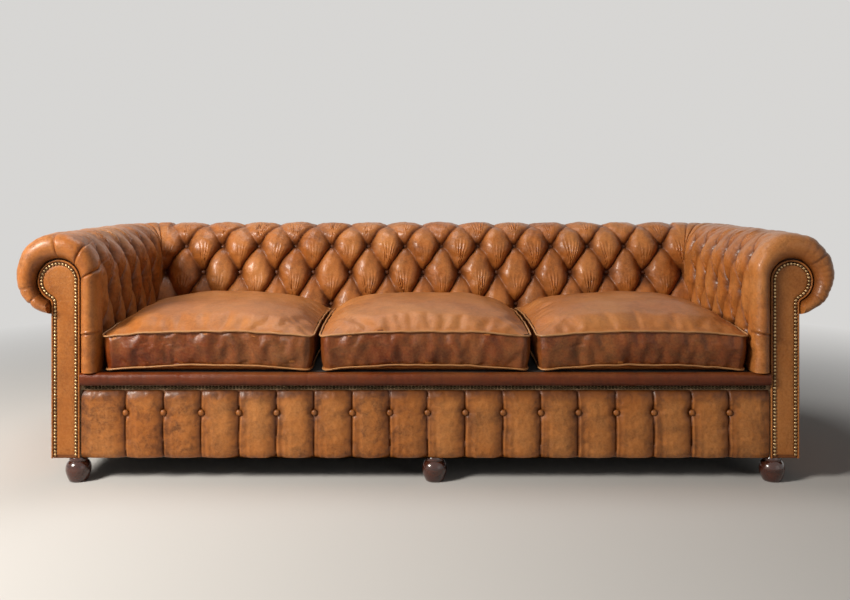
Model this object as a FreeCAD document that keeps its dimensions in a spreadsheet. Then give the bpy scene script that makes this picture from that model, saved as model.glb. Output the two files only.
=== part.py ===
import FreeCAD, Part
import math
import os

import Sketcher
from FreeCAD import Placement, Rotation, Vector

# A three-cushion chesterfield sofa. X runs along its length, its front faces -Y, Z is up,
# and the origin is on the floor at its middle. All sizes are in millimetres.

DRIVING_SIZES = {
    "overall_width": 2440,
    "overall_depth": 940,
    "roll_radius": 122,
    "roll_height": 624,
    "roll_base_height": 500,
    "arm_thickness": 144,
    "pad_thickness": 60,
    "webbing_thickness": 2,
    "panel_thickness": 8,
    "back_lean": 56,
    "deck_height": 331,
    "rail_top": 290,
    "rail_thickness": 30,
    "stretcher_width": 40,
    "stretcher_height": 60,
    "post_depth": 40,
    "top_rail_height": 40,
    "corner_block_leg": 80,
    "foot_height": 74,
    "foot_diameter": 75,
    "foot_floor_diameter": 54,
    "foot_inset": 75,
    "foot_neck_height": 12,
    "foot_neck_inset": 4,
    "foot_bore_depth": 20,
    "middle_foot_shift": 28,
    "bolt_diameter": 8,
    "bolt_depth": 45,
    "facing_recess": 30,
    "facing_board": 12,
    "facing_start": 61,
    "facing_width": 73,
    "head_radius": 57,
    "head_height": 603,
    "neck_radius": 18,
    "piping_diameter": 9,
    "nail_diameter": 9.5,
    "nail_dome": 3.5,
    "nail_shank": 1.6,
    "nail_length": 8,
    "nail_pitch": 10.3,
    "nail_edge": 7.5,
    "tuft_depth": 26,
    "row_spacing": 116.2,
    "top_row_angle": 25,
    "back_tuft_pitch": 138,
    "arm_tuft_pitch": 113,
    "arm_tuft_start": 65,
    "pleat_depth": 9,
    "button_diameter": 20,
    "button_height": 6,
    "border_top": 275,
    "border_thickness": 18,
    "border_pitch": 112.8,
    "border_button_height": 209,
    "border_groove": 9,
    "border_shoulder": 22,
    "border_shift": 7,
    "border_end": 50,
    "border_low_bevel": 22,
    "border_dimple_below": 40,
    "border_dimple_above": 34,
    "lip_depth": 36,
    "lip_overhang": 6,
    "seam_to_deck": 12,
    "cushion_band": 107,
    "cushion_crown": 77,
    "cushion_corner": 26,
    "cushion_gap": 3,
    "cushion_rear_gap": 14,
    "cushion_bulge": 8,
    "cushion_pull": 4,
    "cushion_setback": 18,
    "cushion_underside": 12,
    "crown_shoulder": 95,
    "crown_rise": 40,
    "crown_least": 6,
    "leather": 3,
    "spring_wire": 4,
    "spring_bend": 20,
    "spring_bar": 30,
    "spring_pitch": 210,
    "clip_length": 20,
    "clip_width": 12,
    "strap_width": 50,
    "arm_strap_pitch": 92,
    "back_strap_pitch": 146.4,
    "strap_start": 20,
    "dust_cover_margin": 12,
    "dust_cover_thickness": 1.5,
    "zip_length": 520,
    "zip_width": 24,
    "zip_tape": 2,
    "zip_chain": 1.5,
    "zip_chain_width": 6,
    "slider_length": 10,
    "slider_width": 9,
    "slider_thickness": 3,
    "pull_width": 5,
    "pull_length": 24,
    "pull_thickness": 1.5,
}

CUSHION_NAMES = ("left", "middle", "right")
CLEARANCE = 0.3
BUTTON_REST = 0.85
BUTTON_MARGIN = 20
BACK_END = 4
CORNER_SINK = 4
PANEL_SHARE = 0.9
EDGE_TURN = 6
ARM_STRAPS = 6
DIMPLE_FACTOR = 1.35

doc = FreeCAD.newDocument("chesterfield")
sheet = doc.addObject("Spreadsheet::Sheet", "Sizes")
for line, (alias, number) in enumerate(DRIVING_SIZES.items(), start=1):
    sheet.set(f"A{line}", alias)
    sheet.set(f"B{line}", str(number))
    sheet.setAlias(f"B{line}", alias)
doc.recompute()

nodes = {}


class Size:
    """A length that carries its value and the sheet expression that it comes from."""

    def __init__(self, value, text):
        self.value = float(value)
        self.text = text

    @staticmethod
    def of(item):
        if isinstance(item, Size):
            return item
        return Size(item, f"({float(item):.6f})")

    def joined(self, sign, other, value):
        return Size(value, f"({self.text} {sign} {other.text})")

    def __add__(self, other):
        other = Size.of(other)
        return self.joined("+", other, self.value + other.value)

    def __sub__(self, other):
        other = Size.of(other)
        return self.joined("-", other, self.value - other.value)

    def __mul__(self, other):
        other = Size.of(other)
        return self.joined("*", other, self.value * other.value)

    def __truediv__(self, other):
        other = Size.of(other)
        return self.joined("/", other, self.value / other.value)

    def __radd__(self, other):
        return Size.of(other) + self

    def __rsub__(self, other):
        return Size.of(other) - self

    def __rmul__(self, other):
        return Size.of(other) * self

    def __neg__(self):
        return Size.of(0) - self

    def __float__(self):
        return self.value


def size(alias):
    """The named cell as a Size."""
    return Size(sheet.get(alias), f"Sizes.{alias}")


# Planes that several pieces share
roll_radius = size("roll_radius")
roll_height = size("roll_height")
inner_x = size("overall_width") / 2 - roll_radius * 2
back_y = size("overall_depth") / 2 - roll_radius * 2
front_y = -(size("overall_depth") / 2)
facing_y = front_y + size("facing_recess")
frame_front = facing_y + size("facing_board")
outer_x = inner_x + size("arm_thickness")
outer_y = back_y + size("arm_thickness")
frame_x = outer_x - size("panel_thickness")
frame_y = outer_y - size("panel_thickness")
frame_base = size("foot_height")
rail_top = size("rail_top")
deck_height = size("deck_height")
roll_base = size("roll_base_height")
rail_bottom_of_roll = roll_base - CLEARANCE
top_rail_base = rail_bottom_of_roll - size("top_rail_height")
web_start = size("pad_thickness") + CLEARANCE
rail_start = web_start + size("webbing_thickness") + CLEARANCE
rail_thickness = size("rail_thickness")
front_rail_back = frame_front + rail_thickness
rear_rail_front = frame_y - rail_thickness
pad_bottom = deck_height + CLEARANCE
piping_radius = size("piping_diameter") / 2
piping_offset = piping_radius + 0.35
pocket_offset = size("piping_diameter") + 0.7
spring_room = size("spring_wire") + 7
deck_base = rail_top + spring_room
stuffing_x = inner_x + 3
arm_front_end = front_y + size("facing_recess") * 1.6
deck_rear = back_y - size("back_lean") + 10


def block(label, x_pair, y_pair, z_pair):
    """A wooden or board piece between two planes along each axis."""
    box = doc.addObject("Part::Box", label)
    for side, place, ends in (("Length", "x", x_pair), ("Width", "y", y_pair), ("Height", "z", z_pair)):
        low, high = Size.of(ends[0]), Size.of(ends[1])
        box.setExpression(side, (high - low).text)
        box.setExpression(f"Placement.Base.{place}", low.text)
    return box


def keep(label, item):
    """Give an object its node name and put it among the pieces that are written."""
    item.Label = label
    nodes[label] = item
    return item


def feature(label, shape, step=Vector(0, 0, 0)):
    """A piece whose form only its own formula gives, set down at a step from the origin."""
    item = doc.addObject("Part::Feature", label)
    item.Shape = shape
    item.Placement = Placement(step, Rotation())
    return item


def mirrored(label, source):
    """The same piece on the right-hand side."""
    item = doc.addObject("Part::Mirroring", label)
    item.Source = source
    item.Normal = Vector(1, 0, 0)
    return keep(label, item)


def pair(name, item):
    """Keep a left-hand piece and its mirror image."""
    keep(f"{name}_left", item)
    mirrored(f"{name}_right", item)


def cut(label, base, tool):
    item = doc.addObject("Part::Cut", label)
    item.Base = base
    item.Tool = tool
    return item


def copies(label, master, places):
    """One node that holds a solid of the master's shape at each place."""
    doc.recompute()
    solids = []
    for place in places:
        solid = master.Shape.copy()
        solid.Placement = place
        solids.append(solid)
    return feature(label, Part.makeCompound(solids))


def turned_body(label, points, arcs=()):
    """A body of revolution about Z. Points are (radius, height); arcs maps an edge to its radius."""
    body = doc.addObject("PartDesign::Body", label)
    sketch = body.newObject("Sketcher::SketchObject", f"{label}_profile")
    plane = [item for item in body.Origin.OriginFeatures if item.Role == "XZ_Plane"][0]
    sketch.AttachmentSupport = (plane, "")
    sketch.MapMode = "FlatFace"
    points = [(Size.of(across), Size.of(up)) for across, up in points]
    flat = [Vector(across.value, up.value, 0) for across, up in points]
    bends = dict(arcs)
    count = len(points)
    for index in range(count):
        start, end = flat[index], flat[(index + 1) % count]
        if index in bends:
            middle = arc_middle(start, end, float(bends[index]))
            sketch.addGeometry(Part.Arc(start, middle, end), False)
        else:
            sketch.addGeometry(Part.LineSegment(start, end), False)
    ends = [edge_ends(sketch, index, flat[index]) for index in range(count)]
    for index in range(count):
        after = (index + 1) % count
        sketch.addConstraint(Sketcher.Constraint("Coincident", index, ends[index][1], after, ends[after][0]))
    for index, (across, up) in enumerate(points):
        for kind, length in (("DistanceX", across), ("DistanceY", up)):
            made = sketch.addConstraint(
                Sketcher.Constraint(kind, -1, 1, index, ends[index][0], length.value))
            sketch.setExpression(f"Constraints[{made}]", length.text)
    for index, radius in bends.items():
        made = sketch.addConstraint(Sketcher.Constraint("Radius", index, float(radius)))
        sketch.setExpression(f"Constraints[{made}]", Size.of(radius).text)
    turn = body.newObject("PartDesign::Revolution", f"{label}_turn")
    turn.Profile = sketch
    turn.ReferenceAxis = (sketch, ["V_Axis"])
    turn.Angle = 360
    return body


def edge_ends(sketch, index, start):
    """Which end of a sketch edge is its start: an arc may be stored the other way round."""
    if (sketch.getPoint(index, 1) - start).Length < 0.001:
        return 1, 2
    return 2, 1


def arc_middle(start, end, radius):
    """The middle of the arc that bulges to the right of the way from start to end."""
    chord = end - start
    half = chord.Length / 2
    rise = radius - math.sqrt(radius * radius - half * half)
    outward = Vector(chord.y, -chord.x, 0).normalize()
    return (start + end) * 0.5 + outward * rise


def sweep(edges, radius):
    """A round cord along joined edges."""
    path = Part.Wire(edges)
    start = path.OrderedVertexes[0].Point
    first = path.OrderedEdges[0]
    tangent = first.tangentAt(first.FirstParameter)
    ring = Part.Wire([Part.makeCircle(radius, start, tangent)])
    return path.makePipeShell([ring], True, False)


# Frame
def build_frame():
    keep("centre_stretchers", stretchers())
    pair("side_rail", block("side_rail", (-frame_x, rail_thickness - frame_x),
                            (front_rail_back, rear_rail_front), (frame_base, rail_top)))
    pair("arm_front_post", block("front_post", (-frame_x, -(inner_x + rail_start)),
                                 (frame_front, frame_front + size("post_depth")), (rail_top, top_rail_base)))
    pair("arm_rear_post", block("rear_post", (-frame_x, size("post_depth") - frame_x),
                                (frame_y - size("post_depth"), frame_y), (rail_top, top_rail_base)))
    pair("arm_top_rail", block("arm_top", (-frame_x, -(inner_x + rail_start)),
                               (frame_front, frame_y), (top_rail_base, rail_bottom_of_roll)))
    pair("arm_stuffing_rail", block("arm_stuffing", (-frame_x, -stuffing_x),
                                    (frame_front + size("post_depth"), frame_y - size("post_depth")),
                                    (rail_top, deck_height)))
    inner_rail = inner_x + rail_start
    keep("back_top_rail", block("back_top", (-inner_rail, inner_rail), (back_y + rail_start, frame_y),
                                (top_rail_base, rail_bottom_of_roll)))
    keep("back_stuffing_rail", block("back_stuffing", (-stuffing_x, stuffing_x),
                                     (deck_rear, frame_y), (deck_base, deck_height)))
    keep("back_uprights", back_uprights())
    keep("corner_blocks", corner_blocks())


def group(label, items):
    """Several solids that share one node."""
    item = doc.addObject("Part::Compound", label)
    item.Links = items
    return item


def stretchers():
    middle = inner_x / 3
    half = size("stretcher_width") / 2
    beams = []
    for side in (-1, 1):
        beams.append(block("stretcher", (middle * side - half, middle * side + half),
                           (front_rail_back, rear_rail_front),
                           (frame_base, frame_base + size("stretcher_height"))))
    return group("stretcher_pair", beams)


def back_uprights():
    middle = inner_x / 3
    half = size("stretcher_width") / 2
    posts = []
    for side in (-1, 1):
        posts.append(block("upright", (middle * side - half, middle * side + half),
                           (rear_rail_front, frame_y), (deck_height, top_rail_base)))
    return group("upright_pair", posts)


def corner_blocks():
    """A three-cornered block in each inner corner of the seat frame."""
    leg = float(size("corner_block_leg"))
    low = float(frame_base)
    tall = float(size("stretcher_height"))
    side = float(frame_x - rail_thickness)
    solids = []
    for across in (-1, 1):
        for y_place, inward in ((float(front_rail_back), 1), (float(rear_rail_front), -1)):
            corner = Vector(across * side, y_place, low)
            along = Vector(across * (side - leg), y_place, low)
            deep = Vector(across * side, y_place + inward * leg, low)
            outline = Part.makePolygon([corner, along, deep, corner])
            solids.append(Part.Face(outline).extrude(Vector(0, 0, tall)))
    return feature("corner_block_set", Part.makeCompound(solids))


# Feet, bolts and the rails that they bolt to
def foot_places():
    side = float(outer_x - size("foot_inset"))
    front = float(frame_front + rail_thickness / 2)
    rear = float(frame_y - rail_thickness / 2)
    shift = float(size("middle_foot_shift"))
    return [Vector(-side, front, 0), Vector(shift, front, 0), Vector(side, front, 0),
            Vector(-side, rear, 0), Vector(0, rear, 0), Vector(side, rear, 0)]


def build_feet():
    places = [Placement(point, Rotation()) for point in foot_places()]
    floor = size("foot_floor_diameter") / 2
    widest = size("foot_diameter") / 2
    bun = size("foot_height") - size("foot_neck_height")
    neck = floor - size("foot_neck_inset")
    sole = size("foot_bore_depth")
    sagitta = widest - floor
    round_edge = (bun * bun / 4 + sagitta * sagitta) / (sagitta * 2)
    bore = size("bolt_diameter") / 2 + CLEARANCE
    foot = turned_body("foot", [(bore, sole), (bore, 0), (floor, 0), (floor, bun), (neck, bun),
                                (neck, size("foot_height")), (bore, size("foot_height"))],
                       {2: round_edge})
    keep("feet", copies("foot_set", foot, places))
    stem = size("bolt_diameter") / 2
    top = size("foot_height") + size("bolt_depth")
    bolt = turned_body("foot_bolt", [(0, 8), (stem, 8), (stem, top), (0, top)])
    keep("foot_bolts", copies("bolt_set", bolt, places))
    holes = []
    for point in foot_places():
        foot_top = point + Vector(0, 0, float(frame_base))
        hole = Part.makeCylinder(float(bore), float(size("bolt_depth")) + 1, foot_top)
        holes.append(hole)
    for point in border_nail_points():
        holes.append(nail_hole(point))
    drill = feature("rail_holes", Part.makeCompound(holes))
    front = block("front_rail_blank", (-frame_x, frame_x), (frame_front, front_rail_back),
                  (frame_base, rail_top))
    rear = block("rear_rail_blank", (-frame_x, frame_x), (rear_rail_front, frame_y), (frame_base, rail_top))
    keep("front_rail", cut("front_rail_cut", front, drill))
    keep("rear_rail", cut("rear_rail_cut", rear, drill))
    margin = size("dust_cover_margin")
    cover = block("dust_cover_blank", (margin - frame_x, frame_x - margin),
                  (frame_front + margin, frame_y - margin),
                  (frame_base - size("dust_cover_thickness"), frame_base))
    clear = feature("foot_clearance", Part.makeCompound([
        Part.makeCylinder(float(floor), 20, point + Vector(0, 0, float(frame_base) - 10))
        for point in foot_places()]))
    keep("dust_cover", cut("dust_cover_cut", cover, clear))


# Dome nails
def nail_hole(point):
    radius = float(size("nail_shank")) / 2 + 0.1
    return Part.makeCylinder(radius, float(size("nail_length")) + 0.5, point, Vector(0, 1, 0))


def border_nail_points():
    """A single row under the front lip, on the front rail's face."""
    reach = float(border_half) - float(size("nail_diameter"))
    steps = int(2 * reach / float(size("nail_pitch")))
    height = (float(size("border_top")) + float(rail_top)) / 2
    gap = 2 * reach / steps
    return [Vector(-reach + gap * index, float(frame_front), height) for index in range(steps + 1)]


def facing_edges(offset, y_place, closed=False):
    """The outline of the left facing, moved outward by an offset."""
    start = float(size("facing_start"))
    head_across = start + float(size("head_radius"))
    head_up = float(size("head_height"))
    inner = start - offset
    outer = start + float(size("facing_width")) + offset
    radius = float(size("head_radius")) + offset
    neck = float(size("neck_radius")) - offset
    base = float(frame_base)

    def at(across, up):
        return Vector(-(float(inner_x) + across), y_place, up)

    def head(degrees):
        turn = math.radians(degrees)
        return at(head_across + radius * math.cos(turn), head_up + radius * math.sin(turn))

    drop = math.sqrt((radius + neck) ** 2 - (outer + neck - head_across) ** 2)
    bend_across, bend_up = outer + neck, head_up - drop
    joint_angle = math.degrees(math.atan2(bend_up - head_up, bend_across - head_across))
    bend_start = math.radians(joint_angle + 180)
    bend_middle = (bend_start + math.pi) / 2
    edges = [
        Part.makeLine(at(inner, base), at(inner, head_up)),
        Part.Arc(head(180), head(135), head(90)).toShape(),
        Part.Arc(head(90), head(45), head(0)).toShape(),
        Part.Arc(head(0), head(joint_angle / 2), head(joint_angle)).toShape(),
        Part.Arc(head(joint_angle),
                 at(bend_across + neck * math.cos(bend_middle), bend_up + neck * math.sin(bend_middle)),
                 at(outer, bend_up)).toShape(),
        Part.makeLine(at(outer, bend_up), at(outer, base)),
    ]
    if closed:
        edges.append(Part.makeLine(at(outer, base), at(inner, base)))
    return edges


def facing_solid(offset, y_low, y_high):
    outline = Part.Wire(facing_edges(offset, y_low, closed=True))
    return Part.Face(outline).extrude(Vector(0, y_high - y_low, 0))


def build_facings():
    """The flat front panels of the arms with their piping and nails."""
    path = Part.Wire(facing_edges(-float(size("nail_edge")), float(facing_y)))
    count = int(path.Length / float(size("nail_pitch")))
    margin = float(size("nail_diameter"))
    points = [point for point in path.discretize(Number=count)
              if point.z > float(frame_base) + margin / 2]
    board = facing_solid(0, float(facing_y), float(frame_front))
    board = board.cut(Part.makeCompound([nail_hole(point) for point in points]))
    pair("facing", feature("facing_board_left", board))
    cord = sweep(facing_edges(float(piping_offset), float(facing_y)), float(piping_radius))
    pair("facing_piping", feature("facing_cord_left", cord))
    dome = size("nail_dome")
    half = size("nail_diameter") / 2
    shank = size("nail_shank") / 2
    round_top = (half * half + dome * dome) / (dome * 2)
    nail = turned_body("dome_nail", [(0, -size("nail_length")), (shank, -size("nail_length")), (shank, 0),
                                     (half, 0), (0, dome)], {3: round_top})
    forward = Rotation(Vector(0, 0, 1), Vector(0, -1, 0))
    pair("facing_nails", copies("facing_nails_left", nail, [Placement(point, forward) for point in points]))
    row = [Placement(point, forward) for point in border_nail_points()]
    keep("border_nails", copies("border_nail_row", nail, row))


# Rolled and tufted pads
def row_height(row):
    """Height of tuft row 2 or 3 on the flat of the pad; row 1 lies on the roll."""
    bent = float(roll_radius) * math.radians(float(size("top_row_angle")))
    spacing = float(size("row_spacing"))
    return float(roll_height) - (spacing - bent) - spacing * (row - 2)


def section(place, inset=0.0, lean=0.0, pattern="plain", corner=0.0):
    """A closed outline of a pad with its roll. place maps (outward, up) to a point."""
    depth = float(size("tuft_depth"))
    pleat = float(size("pleat_depth"))
    low = float(pad_bottom)
    up = float(roll_height)
    radius = float(roll_radius) - inset
    middle = float(roll_radius)
    deep = {"bottom": 0, "row3": 0, "row2": 0, "neck": 0, "row1": 0, "roll": 0}
    if pattern == "outer_rows":
        deep = {"bottom": pleat, "row3": depth, "row2": 0, "neck": 0.35 * depth, "row1": depth, "roll": pleat}
    if pattern == "middle_row":
        deep = {"bottom": 0, "row3": 0, "row2": depth, "neck": 0.35 * depth, "row1": 0, "roll": 0}
    if pattern == "pleat":
        deep = {"bottom": 0, "row3": 0, "row2": 0, "neck": 0, "row1": pleat / 2, "roll": pleat}

    def face(height, sink):
        slant = lean * (up - height) / (up - low)
        return place(corner + inset + sink - slant, height)

    def roll(degrees, sink):
        turn = math.radians(degrees)
        reach = radius - sink
        return place(middle - reach * math.cos(turn), up + reach * math.sin(turn))

    tuck = tuck_radius(place)
    tuck_angle = 360 - math.degrees(math.acos((middle - tuck) / middle))
    tuck_across = middle + (tuck - middle) * radius / middle
    base = float(roll_base)
    back = float(size("pad_thickness"))
    row_angle = float(size("top_row_angle"))
    groove = deep["roll"]
    p_bottom = face(low + inset * 0.3, deep["bottom"])
    p_row3 = face(row_height(3), deep["row3"])
    p_row2 = face(row_height(2), deep["row2"])
    p_neck = face(up, deep["neck"])
    p_row1 = roll(row_angle, deep["row1"])
    p_top = roll(90, groove)
    p_outer = roll(180, groove * 0.7)
    p_tuck = roll(tuck_angle, 0)
    corners = [p_bottom, p_row3, p_row2, p_neck, p_row1]
    edges = [Part.makeLine(first, second) for first, second in zip(corners, corners[1:])]
    rise = (row_angle + 90) / 2
    edges.append(Part.Arc(p_row1, roll(rise, (deep["row1"] + groove) * 0.35), p_top).toShape())
    edges.append(Part.Arc(p_top, roll(135, groove * 0.85), p_outer).toShape())
    edges.append(Part.Arc(p_outer, roll((180 + tuck_angle) / 2, groove * 0.4), p_tuck).toShape())
    tail = [p_tuck, place(tuck_across, base), place(back, base), place(back, low), p_bottom]
    edges += [Part.makeLine(first, second) for first, second in zip(tail, tail[1:])]
    return Part.Wire(edges)


def tuck_radius(place):
    """The roll tucks in over the outside panels, further out where they meet at a corner."""
    away = place(1, 0) - place(0, 0)
    square = max(abs(away.x), abs(away.y))
    return float(size("arm_thickness")) / square


def arm_place(y_place):
    return lambda across, up: Vector(-(float(inner_x) + across), y_place, up)


def back_place(x_place):
    return lambda across, up: Vector(x_place, float(back_y) + across, up)


def fan_place(degrees, side=-1):
    """A section turned about the inner corner, from the arm (0) to the back (90)."""
    turn = math.radians(degrees)
    return lambda across, up: Vector(side * (float(inner_x) + across * math.cos(turn)),
                                     float(back_y) + across * math.sin(turn), up)


def arm_stations():
    """Where the half steps of the arm's tufting lie, from the front."""
    start = float(facing_y + size("arm_tuft_start"))
    step = float(size("arm_tuft_pitch")) / 2
    steps = int((float(back_y) - BUTTON_MARGIN - start) / step)
    return [start + step * index for index in range(steps + 1)]


def build_arms():
    front = float(front_y)
    recess = float(size("facing_recess"))
    wires = [
        section(arm_place(front), inset=recess),
        section(arm_place(front + recess * 0.3), inset=recess * 0.4),
        section(arm_place(front + recess), inset=recess * 0.07),
        section(arm_place(float(arm_front_end))),
    ]
    for index, y_place in enumerate(arm_stations()):
        pattern = "middle_row" if index % 2 else "outer_rows"
        wires.append(section(arm_place(y_place), pattern=pattern))
    wires.append(section(fan_place(0), pattern="pleat", corner=CORNER_SINK))
    wires.append(section(fan_place(22.5), corner=CORNER_SINK))
    wires.append(section(fan_place(45), pattern="pleat", corner=CORNER_SINK))
    pad = Part.makeLoft(wires, True, True)
    pocket = facing_solid(float(pocket_offset), front - 1, float(frame_front))
    pair("inside_arm", feature("arm_pad_left", pad.cut(pocket)))


def back_stations():
    """Half steps of the back's tufting, symmetric about the middle."""
    step = float(size("back_tuft_pitch")) / 2
    columns = int((float(inner_x) - BACK_END * 2) / step)
    return [step * index for index in range(-columns, columns + 1)]


def build_back():
    lean = float(size("back_lean"))
    edge = float(inner_x) - BACK_END
    wires = [section(fan_place(45), pattern="pleat", corner=CORNER_SINK)]
    wires.append(section(fan_place(67.5), corner=CORNER_SINK))
    wires.append(section(fan_place(90), pattern="pleat", corner=CORNER_SINK))
    wires.append(section(back_place(-edge), lean=lean))
    middle = len(back_stations()) // 2
    for index, x_place in enumerate(back_stations()):
        pattern = "outer_rows" if (index - middle) % 2 else "middle_row"
        wires.append(section(back_place(x_place), lean=lean, pattern=pattern))
    wires.append(section(back_place(edge), lean=lean))
    wires.append(section(fan_place(90, 1), pattern="pleat", corner=CORNER_SINK))
    wires.append(section(fan_place(67.5, 1), corner=CORNER_SINK))
    wires.append(section(fan_place(45, 1), pattern="pleat", corner=CORNER_SINK))
    keep("inside_back", feature("back_pad", Part.makeLoft(wires, True, True)))


# Covered buttons
def button_body():
    half = size("button_diameter") / 2
    tall = size("button_height")
    round_top = (half * half + tall * tall) / (tall * 2)
    return turned_body("covered_button", [(0, 0), (half, 0), (0, tall)], {1: round_top})


def flank_slope(stations, index, front, rear):
    """How steeply the leather falls to a button from the higher station beside it."""
    depth = float(size("tuft_depth"))
    before = stations[index - 1] if index else front
    falls = [depth / (stations[index] - before)]
    if index + 1 < len(stations):
        falls.append(depth / (stations[index + 1] - stations[index]))
    else:
        falls.append((depth - CORNER_SINK) / (rear - stations[index]))
    return max(falls)


def button_place(place, row, lean, slope):
    """A button lies on the flanks of its tuft, square to the leather."""
    rim = float(size("button_diameter")) / 2
    depth = float(size("tuft_depth"))
    sink = depth - slope * rim - BUTTON_REST
    low, up = float(pad_bottom), float(roll_height)
    if row == 1:
        turn = math.radians(float(size("top_row_angle")))
        reach = float(roll_radius) - sink
        across = float(roll_radius) - reach * math.cos(turn)
        height = up + reach * math.sin(turn)
        out = (-math.cos(turn), math.sin(turn))
    else:
        height = row_height(row)
        across = sink - lean * (up - height) / (up - low)
        slant = lean / (up - low)
        out = (-1, slant)
    point = place(across, height)
    normal = place(across + out[0], height + out[1]) - point
    return Placement(point, Rotation(Vector(0, 0, 1), normal))


def build_buttons():
    button = button_body()
    lean = float(size("back_lean"))
    back = []
    middle = len(back_stations()) // 2
    slope = float(size("tuft_depth")) / (float(size("back_tuft_pitch")) / 2)
    for index, x_place in enumerate(back_stations()):
        if abs(x_place) > float(inner_x) - BUTTON_MARGIN:
            continue
        for row in ((1, 3) if (index - middle) % 2 else (2,)):
            back.append(button_place(back_place(x_place), row, lean, slope))
    keep("back_buttons", copies("back_button_set", button, back))
    arm = []
    stations = arm_stations()
    for index, y_place in enumerate(stations):
        slope = flank_slope(stations, index, float(arm_front_end), float(back_y))
        for row in ((2,) if index % 2 else (1, 3)):
            arm.append(button_place(arm_place(y_place), row, 0.0, slope))
    pair("arm_buttons", copies("arm_button_set", button, arm))
    forward = Rotation(Vector(0, 0, 1), Vector(0, -1, 0))
    rim = float(size("button_diameter")) / 2
    rim_share = PANEL_SHARE * rim / float(size("border_shoulder"))
    dimple = float(size("border_groove")) * DIMPLE_FACTOR * (1 - rim_share)
    face = float(frame_front - size("border_thickness")) + dimple - CLEARANCE
    border = [Placement(Vector(x_place, face, float(size("border_button_height"))), forward)
              for x_place in border_seams()]
    keep("border_buttons", copies("border_button_set", button, border))


# Front border and lip
border_half = inner_x + size("facing_start") - pocket_offset - CLEARANCE
lip_rear = frame_front + size("lip_overhang")


def border_seams():
    pitch = float(size("border_pitch"))
    each_side = int((float(border_half) - float(size("border_end"))) / pitch)
    return [float(size("border_shift")) + pitch * index for index in range(-each_side, each_side + 1)]


def border_section(x_place, share):
    """A slice of the border; share runs from 0 in a seam to 1 at a panel's crown."""
    back = float(frame_front) - CLEARANCE
    base = float(frame_base)
    top = float(size("border_top"))
    button = float(size("border_button_height"))
    crown = back - float(size("border_thickness")) + CLEARANCE
    groove = float(size("border_groove")) * (1 - share)
    dimple = groove * DIMPLE_FACTOR
    edge = crown + EDGE_TURN + groove * 0.4
    outline = [(back, base), (edge, base), (crown + groove, base + float(size("border_low_bevel"))),
               (crown + groove, button - float(size("border_dimple_below"))), (crown + dimple, button),
               (crown + groove, button + float(size("border_dimple_above"))), (edge + 1, top), (back, top)]
    points = [Vector(x_place, y_place, height) for y_place, height in outline]
    return Part.makePolygon(points + [points[0]])


def build_border():
    half = float(border_half)
    shoulder = float(size("border_shoulder"))
    wires = [border_section(-half, 0.3), border_section(-half + shoulder, PANEL_SHARE)]
    for seam in border_seams():
        wires.append(border_section(seam - shoulder, PANEL_SHARE))
        wires.append(border_section(seam, 0))
        wires.append(border_section(seam + shoulder, PANEL_SHARE))
    wires += [border_section(half - shoulder, PANEL_SHARE), border_section(half, 0.3)]
    keep("front_border", feature("border_pad", Part.makeLoft(wires, True, True)))
    keep("front_lip", feature("lip_roll", lip_roll()))


def lip_roll():
    """The rounded welt along the front edge of the seat, above the nails."""
    half = float(border_half)
    low = float(rail_top) + CLEARANCE
    high = float(deck_height)
    rear = float(lip_rear)
    front = rear - float(size("lip_depth"))
    radius = min((high - low) / 2, (rear - front) * 0.9)
    bottom_front = Vector(-half, front + radius, low)
    top_front = Vector(-half, front + radius, high)
    face_low = Vector(-half, front, low + radius)
    face_high = Vector(-half, front, high - radius)
    edges = [
        Part.makeLine(Vector(-half, rear, low), bottom_front),
        Part.Arc(bottom_front, quarter_point(-half, front + radius, low + radius, radius, -1),
                 face_low).toShape(),
    ]
    if (face_high - face_low).Length > 0.01:
        edges.append(Part.makeLine(face_low, face_high))
    edges += [
        Part.Arc(face_high, quarter_point(-half, front + radius, high - radius, radius, 1),
                 top_front).toShape(),
        Part.makeLine(top_front, Vector(-half, rear, high)),
        Part.makeLine(Vector(-half, rear, high), Vector(-half, rear, low)),
    ]
    return Part.Face(Part.Wire(edges)).extrude(Vector(2 * half, 0, 0))


def quarter_point(x_place, y_place, height, radius, side):
    reach = radius * math.sqrt(0.5)
    return Vector(x_place, y_place - reach, height + side * reach)


# Outside panels, webbing, deck and springs
def build_panels():
    pair("outside_arm", block("arm_panel", (-outer_x, -frame_x), (facing_y + 6, frame_y),
                              (frame_base, rail_bottom_of_roll)))
    keep("outside_back", block("back_panel", (-outer_x, outer_x), (frame_y, outer_y),
                               (frame_base, rail_bottom_of_roll)))


def build_webbing():
    """Upright straps behind the stuffing, from the stuffing rails to the top rails."""
    strap = size("strap_width")
    low = pad_bottom
    high = rail_bottom_of_roll - 5
    near = web_start
    far = web_start + size("webbing_thickness")
    arm = []
    start = frame_front + size("post_depth") + size("strap_start")
    room = float(frame_y - size("post_depth") - strap - start)
    pitch = size("arm_strap_pitch")
    for index in range(min(ARM_STRAPS, int(room / float(pitch)) + 1)):
        begin = start + pitch * index
        arm.append(block("arm_strap", (-(inner_x + far), -(inner_x + near)), (begin, begin + strap),
                         (low, high)))
    pair("arm_webbing", group("arm_straps", arm))
    back = []
    pitch = size("back_strap_pitch")
    each_side = int(float(inner_x - strap) / float(pitch))
    for index in range(-each_side, each_side + 1):
        middle = pitch * index
        back.append(block("back_strap", (middle - strap / 2, middle + strap / 2),
                          (back_y + near, back_y + far), (low, high)))
    keep("back_webbing", group("back_straps", back))


def build_deck():
    deck_x = stuffing_x - CLEARANCE
    keep("seat_deck", block("deck", (-deck_x, deck_x), (lip_rear + CLEARANCE, deck_rear - CLEARANCE),
                            (deck_base, deck_height)))


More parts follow.
